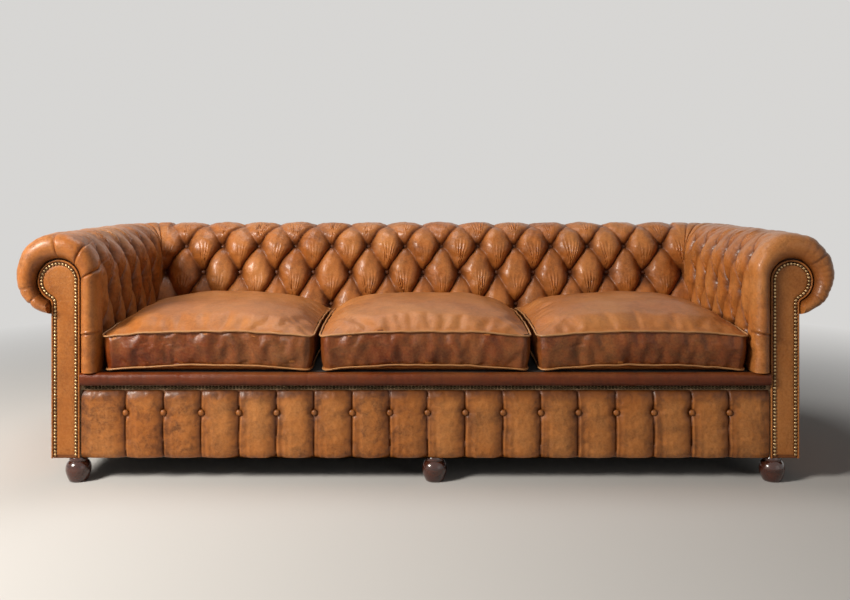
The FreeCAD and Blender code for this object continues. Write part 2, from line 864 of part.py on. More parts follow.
def spring_edges(x_place, height, y_low, y_high):
    """A zigzag spring: bars along X joined by round bends."""
    wish = 2 * float(size("spring_bend"))
    rows = max(2, round((y_high - y_low) / wish))
    rows += rows % 2
    bend = (y_high - y_low) / rows / 2
    half = float(size("spring_bar")) / 2
    edges = []
    side = 1
    for row in range(rows + 1):
        y_place = y_low + row * 2 * bend
        edges.append(Part.makeLine(Vector(x_place - side * half, y_place, height),
                                   Vector(x_place + side * half, y_place, height)))
        if row < rows:
            centre = Vector(x_place + side * half, y_place + bend, height)
            tip = centre + Vector(side * bend, 0, 0)
            share = bend * math.sqrt(0.5)
            before = centre + Vector(side * share, -share, 0)
            after = centre + Vector(side * share, share, 0)
            edges.append(Part.Arc(centre - Vector(0, bend, 0), before, tip).toShape())
            edges.append(Part.Arc(tip, after, centre + Vector(0, bend, 0)).toShape())
        side = -side
    return edges


def build_springs():
    wire = float(size("spring_wire"))
    height = float(rail_top + spring_room / 2)
    y_low = float(frame_front + rail_thickness / 2) + 4
    y_high = float(frame_y - rail_thickness / 2)
    pitch = float(size("spring_pitch"))
    reach = (float(size("spring_bar")) + float(size("spring_bend")) + wire) / 2
    each_side = int((float(stuffing_x) - CLEARANCE - reach) / pitch)
    columns = [pitch * index for index in range(-each_side, each_side + 1)]
    spring = sweep(spring_edges(0, height, y_low, y_high), wire / 2)
    solids = [moved(spring, Vector(x_place, 0, 0)) for x_place in columns]
    keep("seat_springs", feature("spring_set", Part.makeCompound(solids)))
    long, wide = float(size("clip_length")), float(size("clip_width"))
    corner = Vector(-long / 2, -wide / 2, float(rail_top))
    clip = Part.makeBox(long, wide, float(spring_room) - 0.5, corner)
    bore = Part.makeCylinder(wire / 2 + CLEARANCE, long + 2, Vector(-long / 2 - 1, 0, height),
                             Vector(1, 0, 0))
    clip = clip.cut(bore)
    clips = []
    for x_place in columns:
        clips.append(moved(clip, Vector(x_place, y_low, 0)))
        clips.append(moved(clip, Vector(x_place, y_high, 0)))
    keep("spring_clips", feature("clip_set", Part.makeCompound(clips)))


def moved(shape, step):
    copy = shape.copy()
    copy.translate(step)
    return copy


# Loose seat cushions
cushion_pitch = inner_x * 2 / 3
cushion_proud = piping_radius * 2 + 0.7
cushion_half = (cushion_pitch - size("cushion_gap")) / 2 - cushion_proud
cushion_bottom = deck_height + 0.5
low_seam = cushion_bottom + size("seam_to_deck")
high_seam = low_seam + size("cushion_band")
cushion_front = front_y + size("cushion_setback") + cushion_proud


def cushion_rear():
    """The rear face stays clear of the leaning back at the height of the zip."""
    middle = float(low_seam + high_seam) / 2
    slant = float(size("back_lean")) * (float(roll_height) - middle) / float(roll_height - pad_bottom)
    return float(back_y) - slant - float(size("cushion_rear_gap")) - float(size("cushion_bulge"))


def cushion_section(x_place, corner_turn, inset):
    """A slice of a cushion: flat below, bulging bands, and a crown that fades to the sides."""
    half = float(cushion_half)
    share = min(1.0, abs(x_place) / half)
    corner = float(size("cushion_corner")) * (1 - math.cos(corner_turn))
    pull = float(size("cushion_pull")) * (1 - share * share)
    front = float(cushion_front) + corner + pull + inset
    rear = cushion_rear() - corner - pull - inset
    low, high = float(low_seam), float(high_seam)
    bottom = float(cushion_bottom) + inset
    least = float(size("crown_least"))
    crown = (float(size("cushion_crown")) - least) * (1 - share ** 3.5) + least - inset
    bulge = float(size("cushion_bulge"))
    middle = (low + high) / 2
    shoulder = float(size("crown_shoulder"))
    rise = float(size("crown_rise"))
    under = float(size("cushion_underside"))

    def at(y_place, height):
        return Vector(x_place, y_place, height)

    front_low, front_high = at(front, low), at(front, high)
    rear_low, rear_high = at(rear, low), at(rear, high)
    under_front, under_rear = at(front + under, bottom), at(rear - under, bottom)
    shoulder_rear = at(rear - shoulder, high + 0.75 * crown)
    shoulder_front = at(front + shoulder, high + 0.75 * crown)
    return Part.Wire([
        Part.makeLine(under_front, under_rear),
        Part.makeLine(under_rear, rear_low),
        Part.Arc(rear_low, at(rear + bulge, middle), rear_high).toShape(),
        Part.Arc(rear_high, at(rear - rise, high + 0.45 * crown), shoulder_rear).toShape(),
        Part.Arc(shoulder_rear, at((front + rear) / 2, high + crown), shoulder_front).toShape(),
        Part.Arc(shoulder_front, at(front + rise, high + 0.45 * crown), front_high).toShape(),
        Part.Arc(front_high, at(front - bulge, middle), front_low).toShape(),
        Part.makeLine(front_low, under_front),
    ])


def cushion_solid(inset):
    half = float(cushion_half) - inset
    corner = float(size("cushion_corner"))
    wires = []
    turns = (math.pi / 2, math.pi / 4, 0.0)
    flat = half - corner
    for turn in turns:
        wires.append(cushion_section(-(flat + corner * math.sin(turn)), turn, inset))
    for share in (-0.8, -0.5, 0.0, 0.5, 0.8):
        wires.append(cushion_section(flat * share, 0.0, inset))
    for turn in reversed(turns):
        wires.append(cushion_section(flat + corner * math.sin(turn), turn, inset))
    return Part.makeLoft(wires, True, True)


def seam_loop(height):
    """The cord's closed path round a cushion at one seam."""
    away = float(piping_radius) + 0.7
    half = float(cushion_half)
    corner = float(size("cushion_corner"))
    front, rear = float(cushion_front), cushion_rear()
    flat = half - corner
    reach = corner + away
    bend = reach * math.sqrt(0.5)
    centres = ((flat, front + corner, 1, -1), (flat, rear - corner, 1, 1),
               (-flat, rear - corner, -1, 1), (-flat, front + corner, -1, -1))
    arcs = []
    for index, (x_place, y_place, x_way, y_way) in enumerate(centres):
        along_y = Vector(x_place, y_place + y_way * reach, height)
        along_x = Vector(x_place + x_way * reach, y_place, height)
        middle = Vector(x_place + x_way * bend, y_place + y_way * bend, height)
        ends = (along_y, along_x) if index % 2 == 0 else (along_x, along_y)
        arcs.append((ends[0], middle, ends[1]))
    edges = []
    for index, (start, middle, end) in enumerate(arcs):
        edges.append(Part.Arc(start, middle, end).toShape())
        edges.append(Part.makeLine(end, arcs[(index + 1) % len(arcs)][0]))
    return edges


def build_cushions():
    cover = cushion_solid(0.0).cut(cushion_solid(float(size("leather"))))
    core = cushion_solid(float(size("leather")) + CLEARANCE)
    cords = Part.makeCompound([sweep(seam_loop(float(height)), float(piping_radius))
                               for height in (low_seam, high_seam)])
    zip_share = float(size("zip_length")) / 2 / float(cushion_half)
    zip_pull = float(size("cushion_pull")) * (1 - zip_share * zip_share)
    zip_back = cushion_rear() + float(size("cushion_bulge")) - zip_pull
    middle = float(low_seam + high_seam) / 2
    length = float(size("zip_length"))
    width = float(size("zip_width"))
    tape_y = zip_back + CLEARANCE
    chain_y = tape_y + float(size("zip_tape"))
    slider_y = chain_y + float(size("zip_chain")) + CLEARANCE
    teeth = float(size("zip_chain_width"))
    tape = Part.makeBox(length, float(size("zip_tape")), width,
                        Vector(-length / 2, tape_y, middle - width / 2))
    chain = Part.makeBox(length, float(size("zip_chain")), teeth,
                         Vector(-length / 2, chain_y, middle - teeth / 2))
    closure = tape.fuse(chain).removeSplitter()
    start = -length / 2 + teeth
    long, wide = float(size("slider_length")), float(size("slider_width"))
    slider = Part.makeBox(long, float(size("slider_thickness")), wide,
                          Vector(start, slider_y, middle - wide / 2))
    pull_wide, pull_long = float(size("pull_width")), float(size("pull_length"))
    pull = Part.makeBox(pull_wide, float(size("pull_thickness")), pull_long,
                        Vector(start + (long - pull_wide) / 2, slider_y + 1, middle - pull_long))
    slider = slider.fuse(pull).removeSplitter()
    pieces = (("cover", cover), ("core", core), ("piping", cords), ("zip", closure), ("zip_slider", slider))
    for index, name in enumerate(CUSHION_NAMES):
        step = Vector(float(cushion_pitch) * (index - 1), 0, 0)
        for kind, shape in pieces:
            label = f"cushion_{name}_{kind}"
            keep(label, feature(f"{label}_shape", shape, step))


def write_parts():
    """Check every object, then write one file for each piece."""
    doc.recompute()
    for item in doc.Objects:
        if "Invalid" in item.State or "Error" in item.State:
            raise RuntimeError(f"{item.Label} failed: {item.State}")
    for label, item in nodes.items():
        if item.Shape.isNull() or not item.Shape.isValid():
            raise RuntimeError(f"{label} has no valid shape")
        if not item.Shape.Solids:
            raise RuntimeError(f"{label} holds no solid")
    os.makedirs("parts", exist_ok=True)
    for label, item in nodes.items():
        item.Shape.exportStep(f"parts/{label}.step")
    print(len(nodes), "pieces written")


build_frame()
build_feet()
build_facings()
build_arms()
build_back()
build_buttons()
build_border()
build_panels()
build_webbing()
build_deck()
build_springs()
build_cushions()
write_parts()
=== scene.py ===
import math

import bpy
import numpy as np
from bpy.props import FloatProperty, FloatVectorProperty, IntProperty, PointerProperty
from mathutils import Matrix, Vector


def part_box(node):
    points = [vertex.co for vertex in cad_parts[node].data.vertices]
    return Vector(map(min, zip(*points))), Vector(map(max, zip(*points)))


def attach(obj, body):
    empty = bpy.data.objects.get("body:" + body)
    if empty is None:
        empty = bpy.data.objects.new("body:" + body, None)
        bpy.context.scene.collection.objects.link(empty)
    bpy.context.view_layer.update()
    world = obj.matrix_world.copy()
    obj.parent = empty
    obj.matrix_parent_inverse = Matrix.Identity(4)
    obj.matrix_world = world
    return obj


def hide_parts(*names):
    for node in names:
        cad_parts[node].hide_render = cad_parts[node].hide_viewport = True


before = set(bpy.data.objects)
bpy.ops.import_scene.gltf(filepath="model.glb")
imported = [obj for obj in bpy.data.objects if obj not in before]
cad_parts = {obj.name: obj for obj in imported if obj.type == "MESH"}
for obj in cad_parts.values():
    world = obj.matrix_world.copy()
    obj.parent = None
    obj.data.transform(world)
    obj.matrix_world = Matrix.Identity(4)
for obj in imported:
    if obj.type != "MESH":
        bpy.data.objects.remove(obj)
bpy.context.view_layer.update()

bl_info = {
    "name": "Chesterfield Sofa",
    "version": (1, 0, 0),
    "blender": (4, 5, 0),
    "location": "View3D > Sidebar > Sofa",
    "description": "Dresses the sofa's frame with tufted leather, loose cushions, nails, buttons and feet",
    "category": "Add Mesh",
}

# Places read from the frame, in metres
arm_low, arm_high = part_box("inside_arm_left")
back_low, back_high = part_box("inside_back")
panel_low, panel_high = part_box("outside_arm_left")
facing_low, facing_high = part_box("facing_left")
border_low, border_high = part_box("front_border")
lip_low, lip_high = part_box("front_lip")
deck_low, deck_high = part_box("seat_deck")
rail_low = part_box("front_rail")[0]
cushion_low, cushion_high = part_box("cushion_middle_cover")
piping_low, piping_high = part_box("cushion_middle_piping")
feet_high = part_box("feet")[1]

ROLL = (arm_high.x - arm_low.x) / 2
ROLL_Z = arm_high.z - ROLL
INNER_X = -arm_high.x
PAD_BASE = arm_low.z
FRONT_Y = arm_low.y
BACK_Y = back_high.y - 2 * ROLL
BACK_LEAN = BACK_Y - back_low.y
ARM_THICK = -panel_low.x - INNER_X
ROLL_BASE = panel_high.z + 0.0003
FACING_Y = facing_low.y
POCKET_Y = facing_high.y
PAD_THICK = 0.060
FACE_LENGTH = ROLL_Z - PAD_BASE
SIDES = (("left", -1), ("right", 1))
CUSHIONS = ("left", "middle", "right")


def length(name, words, value):
    return FloatProperty(name=name, description=words, default=value, unit="LENGTH")


class SofaSizes(bpy.types.PropertyGroup):
    """Sizes of the dressed pieces."""

    tuft_depth: length("Tuft depth", "How far a button is pulled in", 0.036)
    arm_depth: length("Arm tuft depth", "How far an arm's button is pulled in", 0.016)
    back_pitch: length("Back pitch", "Between buttons along the back", 0.138)
    arm_pitch: length("Arm pitch", "Between buttons along an arm", 0.113)
    arm_start: length("Arm start", "From the facing to the first button", 0.065)
    row_spacing: length("Row spacing", "Between tuft rows over the leather", 0.1162)
    top_row_angle: FloatProperty(
        name="Top row angle", description="Where the top row lies on the roll",
        default=math.radians(25), subtype="ANGLE")
    button_radius: length("Button radius", "Radius of a covered button", 0.0095)
    nail_radius: length("Nail radius", "Radius of a dome nail", 0.0048)
    nail_pitch: length("Nail pitch", "Between dome nails", 0.0103)
    border_pitch: length("Border pitch", "Between the pleats of the front border", 0.1128)
    border_shift: length("Border shift", "Sideways place of the border's pleats", 0.007)
    border_buttons: IntProperty(
        name="Border buttons", description="Buttons along the front border", default=17)
    piping_radius: length("Piping radius", "Radius of the sewn cord", 0.0030)
    cushion_cord: length("Cushion cord", "Radius of the cord round a cushion", 0.0027)
    cushion_crown: length("Cushion crown", "Rise of a cushion over its top seam", 0.064)
    camera_distance: length("Camera distance", "From the camera to the facings", 2.65)
    camera_height: length("Camera height", "Height of the camera over the floor", 0.886)
    camera_lens: FloatProperty(
        name="Lens", description="Focal length in millimetres", default=37.6)
    camera_across: length("Camera across", "Sideways place of the camera", -0.030)
    camera_shift: FloatProperty(
        name="Camera shift", description="Vertical shift of the frame", default=-0.134)
    camera_side_shift: FloatProperty(
        name="Camera side shift", description="Sideways shift of the frame", default=0.0114)


def colour(name, words, value):
    return FloatVectorProperty(
        name=name, description=words, subtype="COLOR", size=3, min=0, max=1, default=value)


class SofaColours(bpy.types.PropertyGroup):
    """Colours of the finishes, in linear light."""

    hide_worn: colour("Worn hide", "Rubbed crowns of the leather", (0.66, 0.285, 0.085))
    hide_middle: colour("Hide", "Main colour of the leather", (0.41, 0.125, 0.022))
    # Dark colour of the mottle, and of the painted shade that the fold mark lays in folds, pits and low
    # places
    hide_deep: colour("Deep hide", "Dark mottle, and painted shade in folds and low places", (0.040, 0.008, 0.0018))
    cushion_middle: colour("Cushion hide", "Main colour of the cushions", (0.41, 0.132, 0.028))
    # Also the lip's colour, where its darkness is painted shadow from the cushions over the lip
    band_hide_and_lip_shade: colour("Band hide", "Redder leather on the cushion bands", (0.150, 0.024, 0.0022))
    border_middle: colour("Border hide", "Main colour of border and facings", (0.36, 0.112, 0.018))
    piping_worn: colour("Piping", "Rubbed cord round the cushions", (0.50, 0.25, 0.10))
    nail_brass: colour("Nail brass", "Antique brass", (0.50, 0.34, 0.17))
    foot_wood: colour("Foot wood", "Dark polished mahogany", (0.040, 0.010, 0.005))
    frame_wood: colour("Frame wood", "Sawn hardwood", (0.48, 0.32, 0.18))
    lining: colour("Lining", "Woven black lining", (0.022, 0.020, 0.019))
    jute: colour("Jute", "Webbing", (0.33, 0.23, 0.12))
    zip_tape: colour("Zip tape", "Woven tape of a zip", (0.05, 0.03, 0.018))
    steel: colour("Steel", "Spring wire", (0.42, 0.42, 0.43))
    floor: colour("Floor", "Pale studio floor", (0.66, 0.65, 0.635))


# Mesh helpers
def only(piece):
    """Deselect everything, then select and activate one piece."""
    for other in bpy.context.selected_objects:
        other.select_set(False)
    piece.select_set(True)
    bpy.context.view_layer.objects.active = piece


def nothing_selected():
    for other in bpy.context.selected_objects:
        other.select_set(False)


def get_points(piece):
    flat = np.empty(len(piece.data.vertices) * 3, np.float32)
    piece.data.vertices.foreach_get("co", flat)
    return flat.reshape(-1, 3).astype(float)


def set_points(piece, points):
    piece.data.vertices.foreach_set("co", np.ascontiguousarray(points, np.float32).ravel())
    piece.data.update()


def mark(piece, name, values):
    """Keep a number for each vertex, for the materials to read."""
    layer = piece.data.attributes.get(name) or piece.data.attributes.new(name, "FLOAT", "POINT")
    layer.data.foreach_set("value", np.clip(values, 0, 1).astype(np.float32))


def wrapped(name, columns, rows, shape):
    """A grid primitive laid over a surface. shape takes two numbers from 0 to 1 for each vertex."""
    nothing_selected()
    bpy.ops.mesh.primitive_grid_add(x_subdivisions=columns, y_subdivisions=rows, size=2)
    piece = bpy.context.object
    piece.name = name
    flat = get_points(piece)
    points, fold = shape((flat[:, 0] + 1) / 2, (flat[:, 1] + 1) / 2)
    set_points(piece, points)
    mark(piece, "fold", fold)
    return piece


def sealed(piece, merge=0.00002):
    """Join doubles, close what is open and turn the faces outward."""
    only(piece)
    bpy.ops.object.mode_set(mode="EDIT")
    bpy.ops.mesh.select_all(action="SELECT")
    bpy.ops.mesh.remove_doubles(threshold=merge)
    bpy.ops.mesh.fill_holes(sides=0)
    bpy.ops.mesh.select_all(action="SELECT")
    bpy.ops.mesh.normals_make_consistent(inside=False)
    bpy.ops.object.mode_set(mode="OBJECT")
    return piece


def smoothed(piece, angle=50):
    only(piece)
    bpy.ops.object.shade_smooth_by_angle(angle=math.radians(angle))
    return piece


def joined(name, parts):
    nothing_selected()
    for part in parts:
        part.select_set(True)
    bpy.context.view_layer.objects.active = parts[0]
    if len(parts) > 1:
        bpy.ops.object.join()
    piece = bpy.context.object
    piece.name = name
    only(piece)
    bpy.ops.object.transform_apply(location=True, rotation=True, scale=True)
    return piece


def copied(master, matrices, name):
    """One piece that holds the master's mesh at each place."""
    parts = []
    for matrix in matrices:
        part = master.copy()
        part.data = master.data.copy()
        bpy.context.collection.objects.link(part)
        part.matrix_world = matrix
        parts.append(part)
    bpy.data.objects.remove(master)
    return joined(name, parts)


def round_behind(around, front_share, corner):
    """Whether a point is on the hidden side of a closed pad, and its shares of depth and height there."""
    behind = np.clip((around - front_share) / (1 - front_share), 0, 1)
    stops = [0, corner, 1 - corner, 1]
    return (around > front_share, np.interp(behind, stops, [0, 1, 1, 0]),
            np.interp(behind, stops, [1, 1, 0, 0]))


def dress(piece, material, body="root", nodes=()):
    """Give a piece its material, its body and the nodes that it stands for."""
    piece.data.materials.clear()
    piece.data.materials.append(material)
    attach(piece, body)
    if nodes:
        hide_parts(*nodes)
    return piece


def ripple(points, scale, seed, octaves=3):
    """Smooth repeatable noise, about -1 to 1, summed from waves."""
    rng = np.random.default_rng(seed)
    points = np.asarray(points, float)
    total = np.zeros(len(points))
    for octave in range(octaves):
        for _ in range(5):
            way = rng.normal(size=points.shape[1])
            way /= np.linalg.norm(way)
            rate = 2 * math.pi / scale * 2 ** octave * rng.uniform(0.7, 1.3)
            total += np.sin(points @ way * rate + rng.uniform(0, 2 * math.pi)) * 0.5 ** octave
    return total / 3.2


def step_smooth(low, high, value):
    share = np.clip((value - low) / (high - low), 0, 1)
    return share * share * (3 - 2 * share)


# Shader groups and materials
def group_socket(group, name, way, kind, default=None):
    socket = group.interface.new_socket(name=name, in_out=way, socket_type=kind)
    if default is not None:
        socket.default_value = default
    return socket


def link(tree, source, target):
    tree.links.new(source, target)


def set_inputs(node, values):
    for name, value in values.items():
        node.inputs[name].default_value = value


def mix_colour(tree, factor, first, second, mode="MIX"):
    node = tree.nodes.new("ShaderNodeMix")
    node.data_type = "RGBA"
    node.blend_type = mode
    wanted = ((factor, node.inputs["Factor"]), (first, node.inputs["A"]), (second, node.inputs["B"]))
    for value, socket in wanted:
        target = socket
        if socket.name in ("A", "B"):
            target = [item for item in node.inputs if item.name == socket.name and item.type == "RGBA"][0]
        if isinstance(value, bpy.types.NodeSocket):
            link(tree, value, target)
        else:
            target.default_value = value
    return [item for item in node.outputs if item.type == "RGBA"][0]


def maths(tree, kind, first, second=0.0, clamp=False):
    node = tree.nodes.new("ShaderNodeMath")
    node.operation = kind
    node.use_clamp = clamp
    for value, socket in ((first, node.inputs[0]), (second, node.inputs[1])):
        if isinstance(value, bpy.types.NodeSocket):
            link(tree, value, socket)
        else:
            socket.default_value = value
    return node.outputs[0]


def weighed(tree, first, first_weight, second, second_weight):
    """The weighted sum of two values."""
    return maths(tree, "ADD", maths(tree, "MULTIPLY", first, first_weight),
                 maths(tree, "MULTIPLY", second, second_weight))


def remap(tree, value, low, high, to_low=0.0, to_high=1.0):
    node = tree.nodes.new("ShaderNodeMapRange")
    link(tree, value, node.inputs["Value"])
    set_inputs(node, {"From Min": low, "From Max": high, "To Min": to_low, "To Max": to_high})
    return node.outputs["Result"]


def noise(tree, place, scale, detail=4.0, rough=0.55, distortion=0.0):
    node = tree.nodes.new("ShaderNodeTexNoise")
    set_inputs(node, {"Scale": scale, "Detail": detail, "Roughness": rough, "Distortion": distortion})
    link(tree, place, node.inputs["Vector"])
    return node.outputs["Fac"]


def cells(tree, place, scale, feature="F1"):
    node = tree.nodes.new("ShaderNodeTexVoronoi")
    node.feature = feature
    node.inputs["Scale"].default_value = scale
    link(tree, place, node.inputs["Vector"])
    return node.outputs["Distance"]


HIDE_INPUTS = (
    ("Place", "NodeSocketVector", None),
    ("Fold", "NodeSocketFloat", 1.0),
    ("Worn", "NodeSocketColor", (0.5, 0.25, 0.1, 1)),
    ("Middle", "NodeSocketColor", (0.36, 0.14, 0.05, 1)),
    # Deep is the dark colour of the mottle and of the painted shade in folds
    ("Deep", "NodeSocketColor", (0.07, 0.02, 0.006, 1)),
    ("Mottle", "NodeSocketFloat", 0.5),
    ("Rubbing", "NodeSocketFloat", 0.5),
)
HIDE_OUTPUTS = (("Color", "NodeSocketColor"), ("Roughness", "NodeSocketFloat"), ("Height", "NodeSocketFloat"))


def aged_hide_group():
    """Leather grain, creases, mottled dye and rubbed crowns, with painted shade in folds and low places taken
    from the fold mark.
    """
    group = bpy.data.node_groups.get("aged_hide")
    if group:
        return group
    group = bpy.data.node_groups.new("aged_hide", "ShaderNodeTree")
    for name, kind, default in HIDE_INPUTS:
        group_socket(group, name, "INPUT", kind, default)
    for name, kind in HIDE_OUTPUTS:
        group_socket(group, name, "OUTPUT", kind)
    into = group.nodes.new("NodeGroupInput").outputs
    out = group.nodes.new("NodeGroupOutput").inputs
    place, fold = into["Place"], into["Fold"]
    broad = noise(group, place, 3.2, 3.0, 0.6, 0.4)
    cloudy = noise(group, place, 11.0, 5.0, 0.62, 0.8)
    blotch = noise(group, place, 34.0, 5.0, 0.65, 1.2)
    fine = noise(group, place, 150.0, 4.0, 0.7)
    mottle = weighed(group, cloudy, 0.55, blotch, 0.45)
    dark = remap(group, mottle, 0.44, 0.62)
    dark = maths(group, "MULTIPLY", dark, into["Mottle"], clamp=True)
    base = mix_colour(group, dark, into["Middle"], into["Deep"])
    rub = remap(group, weighed(group, broad, 0.6, fine, 0.4), 0.40, 0.66)
    crown = maths(group, "POWER", fold, 2.2)
    rub = maths(group, "MULTIPLY", maths(group, "MULTIPLY", rub, crown), into["Rubbing"], clamp=True)
    base = mix_colour(group, rub, base, into["Worn"])
    # Painted shade: the lower the fold mark, the nearer the colour goes to Deep
    painted_fold_shade = maths(group, "SUBTRACT", 1.0, fold, clamp=True)
    painted_fold_shade = maths(group, "POWER", painted_fold_shade, 1.6)
    base = mix_colour(group, maths(group, "MULTIPLY", painted_fold_shade, 0.9, clamp=True), base, into["Deep"])
    speck = remap(group, fine, 0.60, 0.76)
    base = mix_colour(group, maths(group, "MULTIPLY", speck, 0.22), base, into["Deep"])
    link(group, base, out["Color"])
    rough = maths(group, "ADD", remap(group, cloudy, 0.3, 0.7, 0.30, 0.44),
                  maths(group, "MULTIPLY", painted_fold_shade, 0.18))
    link(group, rough, out["Roughness"])
    grain = cells(group, place, 520.0)
    pores = cells(group, place, 1150.0)
    crease = cells(group, place, 62.0, "DISTANCE_TO_EDGE")
    crease = remap(group, crease, 0.0, 0.05)
    height = weighed(group, grain, -0.35, pores, -0.15)
    height = maths(group, "ADD", height, maths(group, "MULTIPLY", crease, 0.22))
    height = maths(group, "ADD", height, noise(group, place, 45.0, 4.0, 0.6, 0.5))
    link(group, height, out["Height"])
    return group


def new_material(name):
    material = bpy.data.materials.new(name)
    material.use_nodes = True
    return material, material.node_tree, material.node_tree.nodes["Principled BSDF"]


def place_output(tree):
    return tree.nodes.new("ShaderNodeTexCoord").outputs["Object"]


def fold_output(tree):
    node = tree.nodes.new("ShaderNodeAttribute")
    node.attribute_name = "fold"
    return node.outputs["Fac"]


def bumped(tree, shader, height, distance, strength=1.0):
    node = tree.nodes.new("ShaderNodeBump")
    set_inputs(node, {"Distance": distance, "Strength": strength})
    link(tree, height, node.inputs["Height"])
    link(tree, node.outputs["Normal"], shader.inputs["Normal"])


def hide_material(name, middle, worn, deep, mottle, rubbing, coat, bump):
    """A leather with its own dye and wear, and painted shade in its folds."""
    material, tree, shader = new_material(name)
    node = tree.nodes.new("ShaderNodeGroup")
    node.node_tree = aged_hide_group()
    link(tree, place_output(tree), node.inputs["Place"])
    link(tree, fold_output(tree), node.inputs["Fold"])
    set_inputs(node, {
        "Middle": (*middle, 1),
        "Worn": (*worn, 1),
        "Deep": (*deep, 1),
        "Mottle": mottle,
        "Rubbing": rubbing,
    })
    link(tree, node.outputs["Color"], shader.inputs["Base Color"])
    link(tree, node.outputs["Roughness"], shader.inputs["Roughness"])
    set_inputs(shader, {"Specular IOR Level": 0.26, "Coat Weight": coat, "Coat Roughness": 0.22})
    bumped(tree, shader, node.outputs["Height"], bump)
    return material


def grained_material(name, light, dark, scale, rough, coat=0.0, bump=0.0003):
    """Wood with its grain drawn out along X."""
    material, tree, shader = new_material(name)
    mapping = tree.nodes.new("ShaderNodeMapping")
    mapping.inputs["Scale"].default_value = (0.08, 1.0, 1.0)
    link(tree, place_output(tree), mapping.inputs["Vector"])
    lines = noise(tree, mapping.outputs["Vector"], scale, 6.0, 0.6, 1.5)
    share = remap(tree, lines, 0.35, 0.65)
    link(tree, mix_colour(tree, share, (*dark, 1), (*light, 1)), shader.inputs["Base Color"])
    link(tree, remap(tree, lines, 0.3, 0.7, rough * 0.8, rough * 1.2), shader.inputs["Roughness"])
    set_inputs(shader, {"Coat Weight": coat, "Coat Roughness": 0.08})
    bumped(tree, shader, lines, bump)
    return material


def woven_material(name, tint, scale=900.0, bump=0.0004):
    """Plain woven cloth."""
    material, tree, shader = new_material(name)
    place = place_output(tree)
    waves = []
    for way in ("X", "Y"):
        wave = tree.nodes.new("ShaderNodeTexWave")
        wave.bands_direction = way
        set_inputs(wave, {"Scale": scale / 6.28, "Distortion": 0.6})
        link(tree, place, wave.inputs["Vector"])
        waves.append(wave.outputs["Fac"])
    weave = maths(tree, "MULTIPLY", waves[0], waves[1])
    cloudy = noise(tree, place, 20.0)
    pale = tuple(min(1.0, channel * 1.9 + 0.004) for channel in tint)
    share = weighed(tree, weave, 0.6, cloudy, 0.4)
    link(tree, mix_colour(tree, share, (*tint, 1), (*pale, 1)), shader.inputs["Base Color"])
    link(tree, remap(tree, cloudy, 0.3, 0.7, 0.8, 0.95), shader.inputs["Roughness"])
    bumped(tree, shader, weave, bump)
    return material


def metal_material(name, tint, rough, tarnish):
    """Metal with tarnish in patches."""
    material, tree, shader = new_material(name)
    place = place_output(tree)
    patches = noise(tree, place, 55.0, 5.0, 0.65, 0.6)
    share = remap(tree, patches, 0.42, 0.66)
    dull = tuple(channel * tarnish for channel in tint)
    link(tree, mix_colour(tree, share, (*tint, 1), (*dull, 1)), shader.inputs["Base Color"])
    link(tree, remap(tree, patches, 0.3, 0.7, rough, rough + 0.22), shader.inputs["Roughness"])
    shader.inputs["Metallic"].default_value = 1.0
    bumped(tree, shader, noise(tree, place, 400.0), 0.0001)
    return material


MATERIALS = {}


# Finish: leather's name, its colour property, mottling, rubbing, coat
HIDES = {
    "tufted": ("tufted_hide", "hide_middle", 0.55, 0.75, 0.22),
    "border": ("border_hide", "border_middle", 0.75, 0.6, 0.16),
    "cushion": ("cushion_hide", "cushion_middle", 0.35, 0.6, 0.1),
    "band": ("band_hide", "band_hide_and_lip_shade", 0.85, 0.30, 0.1),
    # The lip takes the band's darker colour as painted shadow from the cushions over it
    "lip": ("lip_hide", "band_hide_and_lip_shade", 0.5, 0.22, 0.08),
    "piping": ("piping_hide", "piping_worn", 0.25, 0.5, 0.16),
    "facing": ("facing_hide", "border_middle", 0.3, 0.6, 0.08),
}
CUSHION_GRAIN = 0.0010
HIDE_GRAIN = 0.0008


def make_materials(colours):
    worn, deep = tuple(colours.hide_worn), tuple(colours.hide_deep)
    for finish, (name, dye, mottle, rubbing, coat) in HIDES.items():
        grain = CUSHION_GRAIN if finish == "cushion" else HIDE_GRAIN
        middle = tuple(getattr(colours, dye))
        MATERIALS[finish] = hide_material(name, middle, worn, deep, mottle, rubbing, coat, grain)
    brass, wood, sawn = tuple(colours.nail_brass), tuple(colours.foot_wood), tuple(colours.frame_wood)
    MATERIALS["brass"] = metal_material("antique_brass", brass, 0.26, 0.35)
    # A darker copy of the brass paints the shade under the lip on the border's nails
    MATERIALS["dark_brass"] = metal_material("darkened_brass", shaded(brass, 0.22), 0.45, 0.4)
    MATERIALS["foot"] = grained_material("polished_mahogany", shaded(wood, 1.8), wood, 30.0, 0.22, 0.7)
    MATERIALS["frame"] = grained_material("sawn_hardwood", sawn, shaded(sawn, 0.6), 45.0, 0.7)
    MATERIALS["lining"] = woven_material("lining_cloth", tuple(colours.lining))
    MATERIALS["jute"] = woven_material("jute_webbing", tuple(colours.jute), 500.0, 0.0008)
    MATERIALS["zip"] = woven_material("zip_tape", tuple(colours.zip_tape), 1400.0)
    MATERIALS["steel"] = metal_material("spring_steel", tuple(colours.steel), 0.3, 0.6)


def shaded(tint, share):
    return tuple(channel * share for channel in tint)


